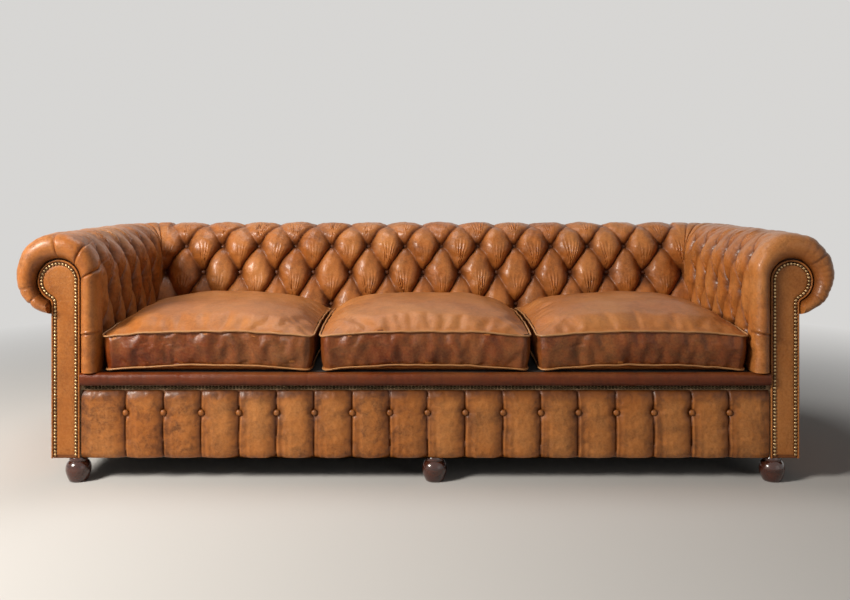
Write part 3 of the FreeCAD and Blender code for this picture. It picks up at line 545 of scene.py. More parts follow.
# The rolled and tufted pads: rows, depths with their widths in metres, and grids
TOP_FOLD = 1
LOW_ROW = -2
BUTTON_ROWS = (0, -1, -2)
ARM_GAPS = 5
BUTTON_SINK = 0.0085
BUTTON_DOME = 0.62
BUTTON_UNDER = 0.35
RING_SWEEP = math.radians(243.6)
VISIBLE = 0.95
BACK_FAN = 0.055
ARM_RING = 0.17
ARM_STRAIGHT = 0.90
RING_POCKET = 0.0095
UNDER_TUCK = 0.8
CORNER_PLEAT = 0.006
CORNER_FOOT = 0.004
LEG_CREASE = 0.120
CREASE = (0.0044, 0.0022)
SOFT_CREASE = (0.0008, 0.0030)
DIMPLE = (0.0120, 0.0125)
BACK_MESH = (780, 240)
ARM_MESH = (330, 260)
BORDER_MESH = (900, 70)
LIP_MESH = (420, 26)


def groove(gap, depth, width):
    return depth * np.exp(-gap / width)


def tuft(across, row, pitch, spacing, depth, seed, top=0.38):
    """How far the leather sinks, and the mark that tells crown (1) from fold (0) and paints shade in the
    folds.

    Rows of buttons lie at 0, -1 and -2. The folds from the top row meet once more at 1, and
    from there, and from the lowest row down, they run straight."""
    drift = ripple(np.stack([across, row * spacing], 1), 0.13, seed, 2)
    quiet = 1 - (np.cos(math.pi * across / pitch) * np.cos(math.pi * row / 2)) ** 2
    across = across + 0.0040 * drift * quiet
    above, below = row > TOP_FOLD, row < LOW_ROW
    outside = above | below
    beyond = np.where(above, row - TOP_FOLD, np.where(below, LOW_ROW - row, 0)) * spacing
    lean_a, lean_b = across / pitch + row / 2, row / 2 - across / pitch
    straight = across / pitch + np.where(above, 0.5 * (TOP_FOLD % 2), 0.5 * (LOW_ROW % 2))
    near_s = np.abs(straight - np.round(straight))
    part_a, part_b = lean_a - np.floor(lean_a), lean_b - np.floor(lean_b)
    near_a = np.where(outside, near_s, np.minimum(part_a, 1 - part_a))
    warp_b = part_b ** 0.86
    near_b = np.where(outside, near_s, np.minimum(warp_b, 1 - warp_b))
    edge = math.hypot(pitch / 2, spacing)
    fold_b = np.abs(lean_b - np.round(lean_b))
    fold_a = np.abs(lean_a - np.round(lean_a))
    true_width = np.where(outside, pitch, pitch * spacing / edge)
    line_a = np.where(outside, near_s, fold_a) * true_width
    line_b = np.where(outside, near_s, fold_b) * true_width
    cell_a, cell_b = lean_a - np.round(lean_a), lean_b - np.round(lean_b)
    side = np.where(outside, straight - np.round(straight), (cell_a - cell_b) / 2) * pitch
    rise = np.where(outside, beyond, (cell_a + cell_b) * spacing)
    number = np.where(outside, np.round(straight) * 7.3, np.round(lean_a) * 3.7 + np.round(lean_b) * 5.1)
    swell = (1 - (1 - 2 * near_a) ** 2.4) * (1 - (1 - 2 * near_b) ** 3.5)
    inside_lift = 0.44 * (1 - (np.cos(math.pi * lean_a) * np.cos(math.pi * lean_b)) ** 2)
    start_lift = 0.44 * (1 - np.cos(math.pi * straight) ** 4)
    settle = 1 - np.exp(-beyond / 0.040)
    outer_lift = start_lift * (1 - settle) + 0.66 * settle
    lift = np.where(outside, outer_lift, inside_lift)
    height = lift + (1 - lift) * swell
    reach = np.hypot(side, rise)
    turn = np.arctan2(rise, side)
    shallow = 1 - (1 - top) * step_smooth(0.05, 0.9, row)
    button = np.where(row > 0.5, 0.0, 1.0)
    crease = groove(line_b, *CREASE) + groove(line_a, *SOFT_CREASE)
    dimple = button * DIMPLE[0] * np.exp(-(reach / DIMPLE[1]) ** 2)
    rays = np.cos(9 * turn + number) + 0.6 * np.cos(14 * turn + 2.3 * number)
    rays = button * 0.0009 * rays * np.exp(-reach / 0.026) * (1 - np.exp(-(reach / 0.011) ** 2))
    gathers, furrow_shade = fan_gathers(part_a, part_b, lean_a, lean_b, outside)
    sink = depth * shallow * (1 - height) + crease * (0.45 + 0.55 * shallow) + dimple + rays + gathers
    # Painted shade along the creases, in the button pits, over the low places and in the gathers' furrows
    crease_shade = 1 - 0.92 * np.exp(-line_b / 0.0036) * np.minimum(shallow + 0.3, 1)
    soft_crease_shade = 1 - 0.22 * np.exp(-line_a / 0.0045)
    pit_shade = 1 - 0.96 * button * np.exp(-(reach / 0.0180) ** 2)
    tall = 1 - shallow * (1 - height)
    fold = (0.22 + 0.78 * tall) * crease_shade * soft_crease_shade * pit_shade * (1 - 0.18 * furrow_shade)
    return sink, fold


def fan_gathers(part_a, part_b, lean_a, lean_b, outside):
    """Fine gathers that run down a puff and meet at its lower button, and a mask of their furrows for painted
    shade.
    """
    whole = np.floor(lean_a) * 12.9898 + np.floor(lean_b) * 78.233
    chance = np.mod(np.sin(whole) * 43758.5453, 1.0)
    other = np.mod(np.sin(whole * 1.7 + 2.0) * 24634.6345, 1.0)
    tall = part_a + part_b
    share = part_b / np.maximum(tall, 1e-6)
    envelope = step_smooth(0.08, 0.36, tall) * (1 - step_smooth(0.60, 1.05 + 0.25 * chance, tall))
    middle = np.exp(-((share - 0.5 - 0.16 * (other - 0.5)) / 0.24) ** 4)
    waves = np.cos(2 * math.pi * (9.0 + 2.4 * chance) * share + 40 * other)
    waves = waves + 0.55 * np.cos(2 * math.pi * (14.5 - 2.0 * other) * share + 25 * chance)
    size = 0.00190 * (0.35 + 0.90 * chance)
    amount = np.where(outside, 0.0, envelope * middle)
    return size * waves * amount, np.clip(waves, 0, 1) * amount


def outline(arc, sink, lean):
    """(outward, up) for a length along the leather from the foot of the pad, over the roll, to its tuck."""
    on_face = arc <= FACE_LENGTH
    height = PAD_BASE + np.minimum(arc, FACE_LENGTH)
    slant = lean * (ROLL_Z - height) / FACE_LENGTH
    turn = np.maximum(arc - FACE_LENGTH, 0) / ROLL
    reach = ROLL - sink
    outward = np.where(on_face, sink - slant, ROLL - reach * np.cos(turn))
    up = np.where(on_face, height, ROLL_Z + reach * np.sin(turn))
    return outward, up


def tuck_turn(tuck):
    return 2 * math.pi - np.arccos((ROLL - tuck) / ROLL)


def hidden_side(around, tuck, turn_end):
    """The way back under the roll and down behind the stuffing: where it is, its share, outward and up."""
    share = np.clip((around - VISIBLE) / (1 - VISIBLE), 0, 1)
    tuck_up = ROLL_Z + ROLL * np.sin(turn_end)
    stops = np.array([0.0, 0.2, 0.6, 0.85, 1.0])
    outward = np.stack([tuck, tuck, np.full_like(tuck, PAD_THICK), np.full_like(tuck, PAD_THICK),
                        np.zeros_like(tuck)], 1)
    up = np.stack([tuck_up, np.full_like(tuck, ROLL_BASE), np.full_like(tuck, ROLL_BASE),
                   np.full_like(tuck, PAD_BASE), np.full_like(tuck, PAD_BASE)], 1)
    index = np.clip(np.searchsorted(stops, share, side="right") - 1, 0, len(stops) - 2)
    part = (share - stops[index]) / (stops[index + 1] - stops[index])
    line = np.arange(len(share))
    return (around > VISIBLE, share,
            outward[line, index] * (1 - part) + outward[line, index + 1] * part,
            up[line, index] * (1 - part) + up[line, index + 1] * part)


def top_row_arc(sizes):
    return FACE_LENGTH + ROLL * sizes.top_row_angle


def leather_arc(shown, total):
    """Length over the leather for a share of the rows, which lie closest where the tufting shows."""
    fine = FACE_LENGTH + 0.225
    near = np.interp(shown, [0.0, 0.09, 0.72], [0.0, 0.080, fine])
    return near + np.clip((shown - 0.72) / 0.28, 0, 1) * (total - fine)


FRONT_PLEATS = {
    -1: ((5, 6.5, 2.6, 0.075, 0.30), (46, 6.0, 2.6, 0.055, 0.18), (92, 4.2, 2.2, 0.040, 0.0),
         (203, 2.6, 2.2, 0.050, 0.0), (228, 3.2, 2.4, 0.050, -0.1)),
    1: ((116, 0.7, 2.6, 0.040, 0.0), (129, 0.9, 2.4, 0.045, 0.0), (145, 3.6, 2.6, 0.060, 0.12),
        (159, 0.9, 2.4, 0.040, 0.0), (170, 1.3, 2.2, 0.045, 0.0), (180, 0.9, 2.2, 0.045, 0.0),
        (189, 1.4, 2.2, 0.045, 0.0), (199, 0.9, 2.2, 0.040, 0.0), (207, 1.4, 2.2, 0.045, 0.0),
        (217, 1.0, 2.2, 0.040, 0.0), (226, 1.5, 2.2, 0.040, 0.0), (236, 1.0, 2.2, 0.035, 0.0)),
}


def roll_gathers(arc, away, side):
    """Pleats that run over the roll at the front of an arm: angle, depth and width in mm, reach and slope. It
    also gives a mask for the painted shade in the pleats.
    """
    sink = np.zeros_like(arc)
    pleat_shade = np.zeros_like(arc)
    for degrees, depth, width, reach, slope in FRONT_PLEATS[side]:
        gap = arc - FACE_LENGTH - ROLL * math.radians(degrees) - slope * away
        gap = gap / (width / 1000)
        groove = np.where(gap < 0, np.exp(-np.abs(gap) ** 1.3), np.exp(-np.abs(gap / 2.6) ** 1.2))
        length = np.exp(-(away / reach) ** 2)
        sink += depth / 1000 * groove * length
        pleat_shade = np.maximum(pleat_shade, np.exp(-np.abs(gap) ** 1.2) * length * min(1.0, depth / 4))
    return sink, pleat_shade


def mitre_pleats(turn, first, second):
    """The two folds of a corner where an arm's pad meets the back's."""
    return np.exp(-np.abs(turn - first) / 0.05) + 0.8 * np.exp(-np.abs(turn - second) / 0.05)


def corner_folds(sink, fold, pleat, arc, in_corner):
    """A corner's folds, which run over the roll only, with painted shade along them."""
    on_roll = step_smooth(FACE_LENGTH, FACE_LENGTH + 0.05, arc)
    sink = sink + np.where(in_corner, CORNER_PLEAT * pleat * on_roll, 0)
    fold = np.where(in_corner, fold * (1 - 0.6 * np.clip(pleat, 0, 1) * on_roll), fold)
    return sink, fold


def arm_shape(sizes, side, seed):
    """The surface function of one arm's pad."""
    ring_end, straight_end = ARM_RING, ARM_STRAIGHT
    start_y = POCKET_Y
    head_out = (facing_high.x - facing_low.x) / 2
    head_across = -INNER_X - facing_high.x + head_out
    head_up = facing_high.z - head_out
    pocket = RING_POCKET
    first_button = FACING_Y + sizes.arm_start

    def shape(along, around):
        ring = np.clip(along / ring_end, 0, 1)
        straight = np.clip((along - ring_end) / (straight_end - ring_end), 0, 1)
        fan = np.clip((along - straight_end) / (1 - straight_end), 0, 1) * math.pi / 4
        y_place = start_y + (BACK_Y - start_y) * straight
        tuck = ARM_THICK / np.cos(fan)
        turn_end = tuck_turn(tuck)
        total = FACE_LENGTH + ROLL * turn_end
        shown = np.clip(around / VISIBLE, 0, 1)
        arc = leather_arc(shown, total)
        row = (arc - top_row_arc(sizes)) / sizes.row_spacing
        away = np.where(along < ring_end, 0, y_place - start_y)
        sink, fold = tuft(y_place - first_button, row, sizes.arm_pitch, sizes.row_spacing,
                          sizes.arm_depth, seed, 0.0)
        grow = step_smooth(first_button - 0.050, first_button + 0.010, y_place)
        last = first_button + ARM_GAPS * sizes.arm_pitch
        fade = 1 - step_smooth(last + 0.005, last + 0.035, y_place)
        amount = grow * fade
        sink = sink * amount
        fold = 1 - (1 - fold) * amount
        gathers, pleat_shade = roll_gathers(arc, away, side)
        sink = sink + gathers
        # Painted shade in the pleats over the front of the roll
        fold = fold * (1 - 0.75 * pleat_shade)
        fan_pleat = mitre_pleats(fan, math.pi / 4, math.pi / 8)
        sink, fold = corner_folds(sink, fold, fan_pleat, arc, along > straight_end)
        sink = sink + 0.0016 * ripple(np.stack([y_place, arc], 1), 0.09, seed + 2)
        sink = sink * (1 - UNDER_TUCK * step_smooth(total - 0.03, total, arc))
        outward, up = outline(arc, sink, 0.0)
        outward = np.where((along > straight_end) & (arc <= FACE_LENGTH), CORNER_FOOT, outward)
        is_hidden, hidden, back_out, back_up = hidden_side(around, tuck, turn_end)
        outward = np.where(is_hidden, back_out, outward)
        up = np.where(is_hidden, back_up, up)
        fold = np.where(is_hidden, 0.5, fold)
        ring_turn = np.clip((arc - FACE_LENGTH) / (total - FACE_LENGTH), 0, 1) * RING_SWEEP
        inner_up = PAD_BASE + np.minimum(arc, FACE_LENGTH) / FACE_LENGTH * (head_up - PAD_BASE)
        radius = head_out + pocket
        on_face = arc <= FACE_LENGTH
        near_out = np.where(on_face, head_across - radius, head_across - radius * np.cos(ring_turn))
        near_up = np.where(on_face, inner_up, head_up + radius * np.sin(ring_turn))
        end_out = head_across - radius * math.cos(RING_SWEEP)
        end_up = head_up + radius * math.sin(RING_SWEEP)
        near_out = np.where(is_hidden, end_out + (head_across - radius - end_out) * hidden, near_out)
        near_up = np.where(is_hidden, end_up + (PAD_BASE - end_up) * hidden, near_up)
        in_ring = along < ring_end
        share = (1 - np.cos(math.pi * ring)) / 2
        bulge = (start_y - FRONT_Y) * np.sin(math.pi * ring) ** 0.85
        pleat_in = gathers * 1.3 * np.sin(math.pi * ring)
        gap = (arc - LEG_CREASE) / 0.0032
        leg_crease = 0.0085 * np.exp(-np.abs(gap)) - 0.0042 * np.exp(-np.abs(gap - 2.0) ** 1.5)
        below = 0.0060 * step_smooth(0.004, -0.020, arc - LEG_CREASE)
        pleat_in = pleat_in + (leg_crease + below) * np.sin(math.pi * ring)
        # Painted shade in the crease across the front of the pad
        fold = fold * np.where(in_ring, 1 - 0.85 * np.exp(-np.abs(gap)), 1)
        bulge = np.where(is_hidden, 0, bulge - pleat_in)
        outward = np.where(in_ring, near_out + (outward - near_out) * share, outward)
        up = np.where(in_ring, near_up + (up - near_up) * share, up)
        y_place = np.where(in_ring, start_y - bulge, y_place)
        # Painted shadow in the recess round the facing board, darkest at its head
        recess = np.exp(-(ring / 0.34) ** 2) * step_smooth(0.10, 0.24, arc)
        painted_recess_shade = np.where(in_ring, (1 - 0.85 * np.exp(-ring / 0.08)) * (1 - 0.72 * recess), 1)
        fold = fold * painted_recess_shade
        x_place = side * (INNER_X + outward * np.cos(fan))
        y_place = np.where(along > straight_end, BACK_Y + outward * np.sin(fan), y_place)
        return np.stack([x_place, y_place, up], 1), fold

    return shape


def back_shape(sizes, seed):
    """The surface function of the back's pad, from one mitred corner to the other."""
    fan_share = BACK_FAN
    reach = INNER_X

    def shape(along, around):
        middle = np.clip((along - fan_share) / (1 - 2 * fan_share), 0, 1)
        x_place = -reach + 2 * reach * middle
        left = np.clip(along / fan_share, 0, 1)
        right = np.clip((1 - along) / fan_share, 0, 1)
        fan = np.where(along < 0.5, left, right)
        swing = math.pi / 4 * (1 + fan)
        in_fan = fan < 1
        side = np.where(along < 0.5, -1.0, 1.0)
        tuck = ARM_THICK / np.sin(swing)
        turn_end = tuck_turn(tuck)
        total = FACE_LENGTH + ROLL * turn_end
        arc = leather_arc(np.clip(around / VISIBLE, 0, 1), total)
        row = (arc - top_row_arc(sizes)) / sizes.row_spacing
        sink, fold = tuft(x_place - sizes.back_pitch / 2, row, sizes.back_pitch, sizes.row_spacing,
                          sizes.tuft_depth, seed)
        amount = 1 - step_smooth(reach - 0.016, reach - 0.001, np.abs(x_place))
        sink = sink * amount
        fold = 1 - (1 - fold) * amount
        pleat = mitre_pleats(swing, math.pi / 4, 3 * math.pi / 8)
        sink, fold = corner_folds(sink, fold, pleat, arc, in_fan)
        sink = sink + 0.0018 * ripple(np.stack([x_place, arc], 1), 0.10, seed + 2)
        sink = sink * (1 - UNDER_TUCK * step_smooth(total - 0.03, total, arc))
        outward, up = outline(arc, sink, np.where(in_fan, 0.0, BACK_LEAN))
        outward = np.where(in_fan & (arc <= FACE_LENGTH), CORNER_FOOT, outward)
        is_hidden, hidden, back_out, back_up = hidden_side(around, tuck, turn_end)
        start_out = np.where(in_fan, CORNER_FOOT, -BACK_LEAN)
        last = np.clip((hidden - 0.85) / 0.15, 0, 1)
        back_out = back_out + start_out * last
        outward = np.where(is_hidden, back_out, outward)
        up = np.where(is_hidden, back_up, up)
        fold = np.where(is_hidden, 0.5, fold)
        push = 0.014 * step_smooth(reach - 0.046, reach, np.abs(x_place)) * (arc < FACE_LENGTH + 0.02)
        points_x = np.where(in_fan, side * (INNER_X + outward * np.cos(swing)), x_place + side * push)
        points_y = BACK_Y + outward * np.where(in_fan, np.sin(swing), 1.0)
        return np.stack([points_x, points_y, up], 1), fold

    return shape


def covered_button(sizes, name, shade=1.0):
    """A leather-covered button, domed and drawn in at its rim, with painted shade that darkens its rim and,
    by the shade share, the whole button.
    """
    nothing_selected()
    bpy.ops.mesh.primitive_uv_sphere_add(segments=20, ring_count=10, radius=sizes.button_radius)
    button = bpy.context.object
    button.name = name
    points = get_points(button)
    flat = np.where(points[:, 2] > 0, BUTTON_DOME, BUTTON_UNDER)
    points[:, 2] *= flat
    set_points(button, points)
    crown = np.clip(points[:, 2] / (sizes.button_radius * BUTTON_DOME), 0, 1)
    mark(button, "fold", shade * (0.30 + 0.70 * crown ** 0.8))
    return smoothed(button, 80)


def facing_matrix(point, normal, spin=0.0):
    turn = Vector((0, 0, 1)).rotation_difference(Vector(normal)).to_matrix().to_4x4()
    return Matrix.Translation(Vector(point)) @ turn @ Matrix.Rotation(spin, 4, "Z")


def button_spots(depth, row, lean, sizes):
    """Outward and up, with the leather's normal, for one row of buttons."""
    arc = top_row_arc(sizes) + row * sizes.row_spacing
    sink = depth + BUTTON_SINK
    if arc > FACE_LENGTH:
        turn = (arc - FACE_LENGTH) / ROLL
        reach = ROLL - sink
        return (ROLL - reach * math.cos(turn), ROLL_Z + reach * math.sin(turn),
                -math.cos(turn), math.sin(turn))
    up = PAD_BASE + arc
    slant = lean * (ROLL_Z - up) / FACE_LENGTH
    return (sink - slant, up, -1.0, lean / FACE_LENGTH)


def lattice(pitch, low, high, start, odd):
    """Places of a row's buttons between two limits."""
    first = start + (pitch / 2 if odd else 0)
    count = int((high - first) / pitch + 0.5)
    below = int((first - low) / pitch)
    places = [first + pitch * index for index in range(-below, count + 1)]
    return [place for place in places if low <= place <= high]


class SOFA_OT_back(bpy.types.Operator):
    """Make the tufted inside back with its roll and buttons"""

    bl_idname = "sofa.back"
    bl_label = "Inside back"

    def execute(self, context):
        sizes = context.scene.sofa_sizes
        pad = smoothed(sealed(wrapped("inside_back_pad", *BACK_MESH, back_shape(sizes, 11))), 70)
        dress(pad, MATERIALS["tufted"], nodes=["inside_back"])
        matrices = []
        limit = INNER_X - 0.02
        for row in BUTTON_ROWS:
            out, up, out_way, up_way = button_spots(sizes.tuft_depth, row, BACK_LEAN, sizes)
            for x_place in lattice(sizes.back_pitch, -limit, limit, sizes.back_pitch / 2, row == -1):
                matrices.append(facing_matrix((x_place, BACK_Y + out, up), (0, out_way, up_way), x_place * 9))
        # The back's buttons are painted dark, as shade in their pits
        buttons = copied(covered_button(sizes, "back_button", 0.12), matrices, "back_button_set")
        dress(buttons, MATERIALS["tufted"], nodes=["back_buttons"])
        return {"FINISHED"}


class SOFA_OT_arms(bpy.types.Operator):
    """Make the tufted inside arms with their rolls and buttons"""

    bl_idname = "sofa.arms"
    bl_label = "Inside arms"

    def execute(self, context):
        sizes = context.scene.sofa_sizes
        for name, side in SIDES:
            seed = 31 + side
            shape = arm_shape(sizes, side, seed)
            pad = smoothed(sealed(wrapped(f"inside_arm_pad_{name}", *ARM_MESH, shape)), 70)
            dress(pad, MATERIALS["tufted"], nodes=[f"inside_arm_{name}"])
            start = FACING_Y + sizes.arm_start
            matrices = []
            for row in BUTTON_ROWS:
                out, up, out_way, up_way = button_spots(sizes.arm_depth, row, 0.0, sizes)
                last = start + ARM_GAPS * sizes.arm_pitch
                for y_place in lattice(sizes.arm_pitch, start - 0.001, last + 0.001, start, row == -1):
                    matrices.append(facing_matrix((side * (INNER_X + out), y_place, up),
                                                  (side * out_way, 0, up_way), y_place * 9))
            # The arms' buttons are painted dark, as shade in their pits
            buttons = copied(covered_button(sizes, "arm_button", 0.12), matrices, f"arm_button_set_{name}")
            dress(buttons, MATERIALS["tufted"], nodes=[f"arm_buttons_{name}"])
        return {"FINISHED"}


# Facings, their piping and nails
def facing_path(offset, count):
    """Points along a facing's outline from its inner foot, over the head, to its outer foot."""
    head_out = (facing_high.x - facing_low.x) / 2
    start = -INNER_X - facing_high.x
    head_across = start + head_out
    head_up = facing_high.z - head_out
    straight_outer = start + FACING_WIDTH
    inner, outer = start - offset, straight_outer + offset
    radius, neck = head_out + offset, NECK_RADIUS - offset
    base = facing_low.z
    drop = math.sqrt((radius + neck) ** 2 - (outer + neck - head_across) ** 2)
    bend_across, bend_up = outer + neck, head_up - drop
    joint = math.atan2(bend_up - head_up, bend_across - head_across)
    pieces = [(head_up - base, lambda t: (inner, base + (head_up - base) * t))]
    sweep = math.pi - joint

    def over(t):
        turn = math.pi - sweep * t
        return head_across + radius * math.cos(turn), head_up + radius * math.sin(turn)

    def under(t):
        turn = joint + math.pi + (math.pi - (joint + math.pi)) * t
        return bend_across + neck * math.cos(turn), bend_up + neck * math.sin(turn)

    pieces.append((sweep * radius, over))
    pieces.append((abs(joint) * neck, under))
    pieces.append((bend_up - base, lambda t: (outer, bend_up + (base - bend_up) * t)))
    total = sum(length for length, _ in pieces)
    points = []
    for index in range(count):
        left = total * index / (count - 1)
        for length, where in pieces:
            if left <= length + 1e-9:
                points.append(where(left / length))
                break
            left -= length
    return np.array(points), total


FACING_WIDTH = 0.073
NECK_RADIUS = 0.018
# Inset from the outline, set back from the facing's plane, and fold mark; the low marks paint shade on the
# rim round the nails
FACING_RINGS = ((0.0, 0.0, 0.3), (0.0, 0.0016, 0.4), (0.0010, 0.0005, 0.25), (0.0032, 0.0, 0.25),
                (0.0062, 0.0006, 0.25), (0.0092, 0.0006, 0.25), (0.0117, -0.0004, 1.0),
                (0.0147, -0.0010, 1.0), (0.0187, -0.0013, 1.0), (0.0217, -0.0013, 1.0))
NAIL_INSET = 0.0056
NAIL_STAND = 0.0008


def cord_along(name, route, radius, rings=12, closed=False, seed=0):
    """A sewn cord that follows a route, with the slight waver of hand-sewn leather."""
    route = np.asarray(route, float)
    count = len(route)
    after = np.roll(route, -1, 0)
    before = np.roll(route, 1, 0)
    if not closed:
        after[-1], before[0] = route[-1], route[0]
    way = after - before
    way /= np.linalg.norm(way, axis=1)[:, None]
    across = abs(way[:, 1]).mean() < 0.2
    up = np.tile(np.array([0.0, 1.0, 0.0] if across else [0.0, 0.0, 1.0]), (count, 1))
    side = np.cross(way, up)
    side /= np.linalg.norm(side, axis=1)[:, None]
    up = np.cross(side, way)
    steps = count if closed else count - 1

    def shape(along, around):
        index = np.round(along * steps).astype(int)
        index = index % count if closed else np.minimum(index, count - 1)
        turn = around * 2 * math.pi
        thick = radius * (1 + 0.05 * ripple(np.stack([along * steps, turn], 1), 14.0, seed, 2))
        points = (route[index] + side[index] * (np.cos(turn) * thick)[:, None]
                  + up[index] * (np.sin(turn) * thick)[:, None])
        # Painted shade on two opposite flanks of the cord
        fold = 0.62 + 0.38 * np.abs(np.sin(turn))
        return points, fold

    return smoothed(sealed(wrapped(name, steps, rings, shape)), 80)


def dome_nail(sizes):
    nothing_selected()
    bpy.ops.mesh.primitive_uv_sphere_add(segments=12, ring_count=8, radius=sizes.nail_radius)
    nail = bpy.context.object
    only(nail)
    bpy.ops.object.mode_set(mode="EDIT")
    bpy.ops.mesh.select_all(action="SELECT")
    bpy.ops.mesh.bisect(plane_co=(0, 0, -0.0003), plane_no=(0, 0, 1), clear_inner=True, use_fill=True)
    bpy.ops.object.mode_set(mode="OBJECT")
    points = get_points(nail)
    points[:, 2] *= 0.8
    set_points(nail, points)
    return smoothed(nail, 60)


def nail_matrices(points, seed):
    rng = np.random.default_rng(seed)
    matrices = []
    for point in points:
        tilt = rng.normal(0, 0.07, 2)
        scale = rng.uniform(0.95, 1.05)
        turned = facing_matrix(point, (tilt[0], -1, tilt[1]), rng.uniform(0, 6))
        matrices.append(turned @ Matrix.Scale(scale, 4))
    return matrices


class SOFA_OT_facings(bpy.types.Operator):
    """Make the flat arm fronts with their piping and dome nails"""

    bl_idname = "sofa.facings"
    bl_label = "Facings"

    def execute(self, context):
        sizes = context.scene.sofa_sizes
        for name, side in SIDES:
            self.panel(name, side)
            path, _ = facing_path(sizes.piping_radius + 0.00035, 300)
            route = np.stack([side * (INNER_X + path[:, 0]), np.full(len(path), FACING_Y), path[:, 1]], 1)
            cord = cord_along(f"facing_cord_{name}", route, sizes.piping_radius, 10, seed=60 + side)
            dress(cord, MATERIALS["facing"], nodes=[f"facing_piping_{name}"])
            _, length = facing_path(-NAIL_INSET, 2)
            count = int(length / sizes.nail_pitch)
            inner, _ = facing_path(-NAIL_INSET, count)
            places = [(side * (INNER_X + across), FACING_Y - NAIL_STAND, up) for across, up in inner
                      if up > facing_low.z + 0.004]
            nails = copied(dome_nail(sizes), nail_matrices(places, 70 + side), f"facing_nail_row_{name}")
            dress(nails, MATERIALS["brass"], nodes=[f"facing_nails_{name}"])
        return {"FINISHED"}

    def panel(self, name, side):
        """The leather-covered board: closed rings of its outline, drawn in, with a low line for the nails."""
        rings = []
        for inset, _, _ in FACING_RINGS:
            path, _ = facing_path(-inset, 200)
            path[:, 1] = np.maximum(path[:, 1], facing_low.z + inset)
            rings.append(np.concatenate([path, np.linspace(path[-1], path[0], 16)[1:-1]]))
        rings = np.array(rings)
        count = rings.shape[1]

        def shape(along, around):
            index = np.round(along * count).astype(int) % count
            ring = np.round(around * (len(rings) - 1)).astype(int)
            flat = rings[ring, index]
            y_place = np.array([POCKET_Y] + [FACING_Y + back for _, back, _ in FACING_RINGS[1:]])[ring]
            # Painted shade on the board's rim, where the nails sit
            fold = np.array([dark for _, _, dark in FACING_RINGS])[ring]
            return np.stack([side * (INNER_X + flat[:, 0]), y_place, flat[:, 1]], 1), fold

        panel = smoothed(sealed(wrapped(f"facing_panel_{name}", count, len(rings) - 1, shape)), 40)
        dress(panel, MATERIALS["facing"], nodes=[f"facing_{name}"])


# Front border with its pleats, buttons and nails, and the lip over it
BORDER_BUTTON_Z = 0.209
BORDER_DEPTH = 0.0110
BORDER_PLEAT = 0.0048
BORDER_CROWN = 0.002
LIP_OVERHANG = 0.004
LIP_SQUARENESS = 0.75


def border_surface(sizes, x_place, height, seed=5):
    """How far the front of the border sinks behind its crown, and its fold mark, which paints shade and
    highlight.
    """
    middle = (sizes.border_buttons - 1) / 2
    waver = 0.0012 * ripple(np.stack([x_place * 0.4, height], 1), 0.16, seed, 2)
    share = (x_place - sizes.border_shift + waver) / sizes.border_pitch + middle
    number = np.clip(np.round(share), 0, sizes.border_buttons - 1)
    gap = (share - number) * sizes.border_pitch
    near = np.minimum(np.abs(gap) / (sizes.border_pitch / 2), 1)
    swell = 1 - (1 - near) ** 2.4
    end = np.minimum(INNER_X + 0.051 - np.abs(x_place), 0.03) / 0.03
    swell = np.minimum(swell, 0.35 + 0.65 * np.clip(end, 0, 1))
    over = BORDER_PLEAT * np.exp(-np.maximum(gap, 0) / 0.0085) * (gap > 0)
    line = BORDER_PLEAT * np.exp(-np.abs(gap) / 0.0018)
    reach = np.hypot(gap, height - BORDER_BUTTON_Z)
    turn = np.arctan2(height - BORDER_BUTTON_Z, gap)
    dimple = 0.0075 * np.exp(-(reach / 0.016) ** 2)
    rays = 0.0010 * np.cos(8 * turn + number * 2.1) * np.exp(-reach / 0.022)
    rays = rays * (1 - np.exp(-(reach / 0.010) ** 2))
    share_up = (height - border_low.z) / (border_high.z - border_low.z)
    edge = (0.009 * (1 - np.clip(share_up / 0.10, 0, 1)) ** 2
            + 0.011 * (1 - np.clip((1 - share_up) / 0.14, 0, 1)) ** 2)
    pull_line = 0.0010 * np.sin(2 * math.pi * gap / 0.021 + number * 2.3)
    pull_line = pull_line * np.exp(-((gap - 0.020) / 0.018) ** 2)
    sink = BORDER_DEPTH * (1 - swell) + line + dimple + rays + edge - over + pull_line * (1 - share_up)
    sink = sink + 0.0010 * ripple(np.stack([x_place, height], 1), 0.05, seed + 1)
    # Painted shade in the pleat lines, round the buttons and toward the top under the lip, with a painted
    # highlight beside each pleat
    fold = (0.25 + 0.75 * swell) * (1 - 0.9 * np.exp(-np.abs(gap + 0.0008) / 0.0026))
    fold = fold + 0.5 * np.exp(-((gap - 0.0045) / 0.0028) ** 2)
    fold = fold * (1 - 0.75 * np.exp(-(reach / 0.013) ** 2)) * (1 - 0.75 * step_smooth(0.80, 1.0, share_up))
    return sink, fold


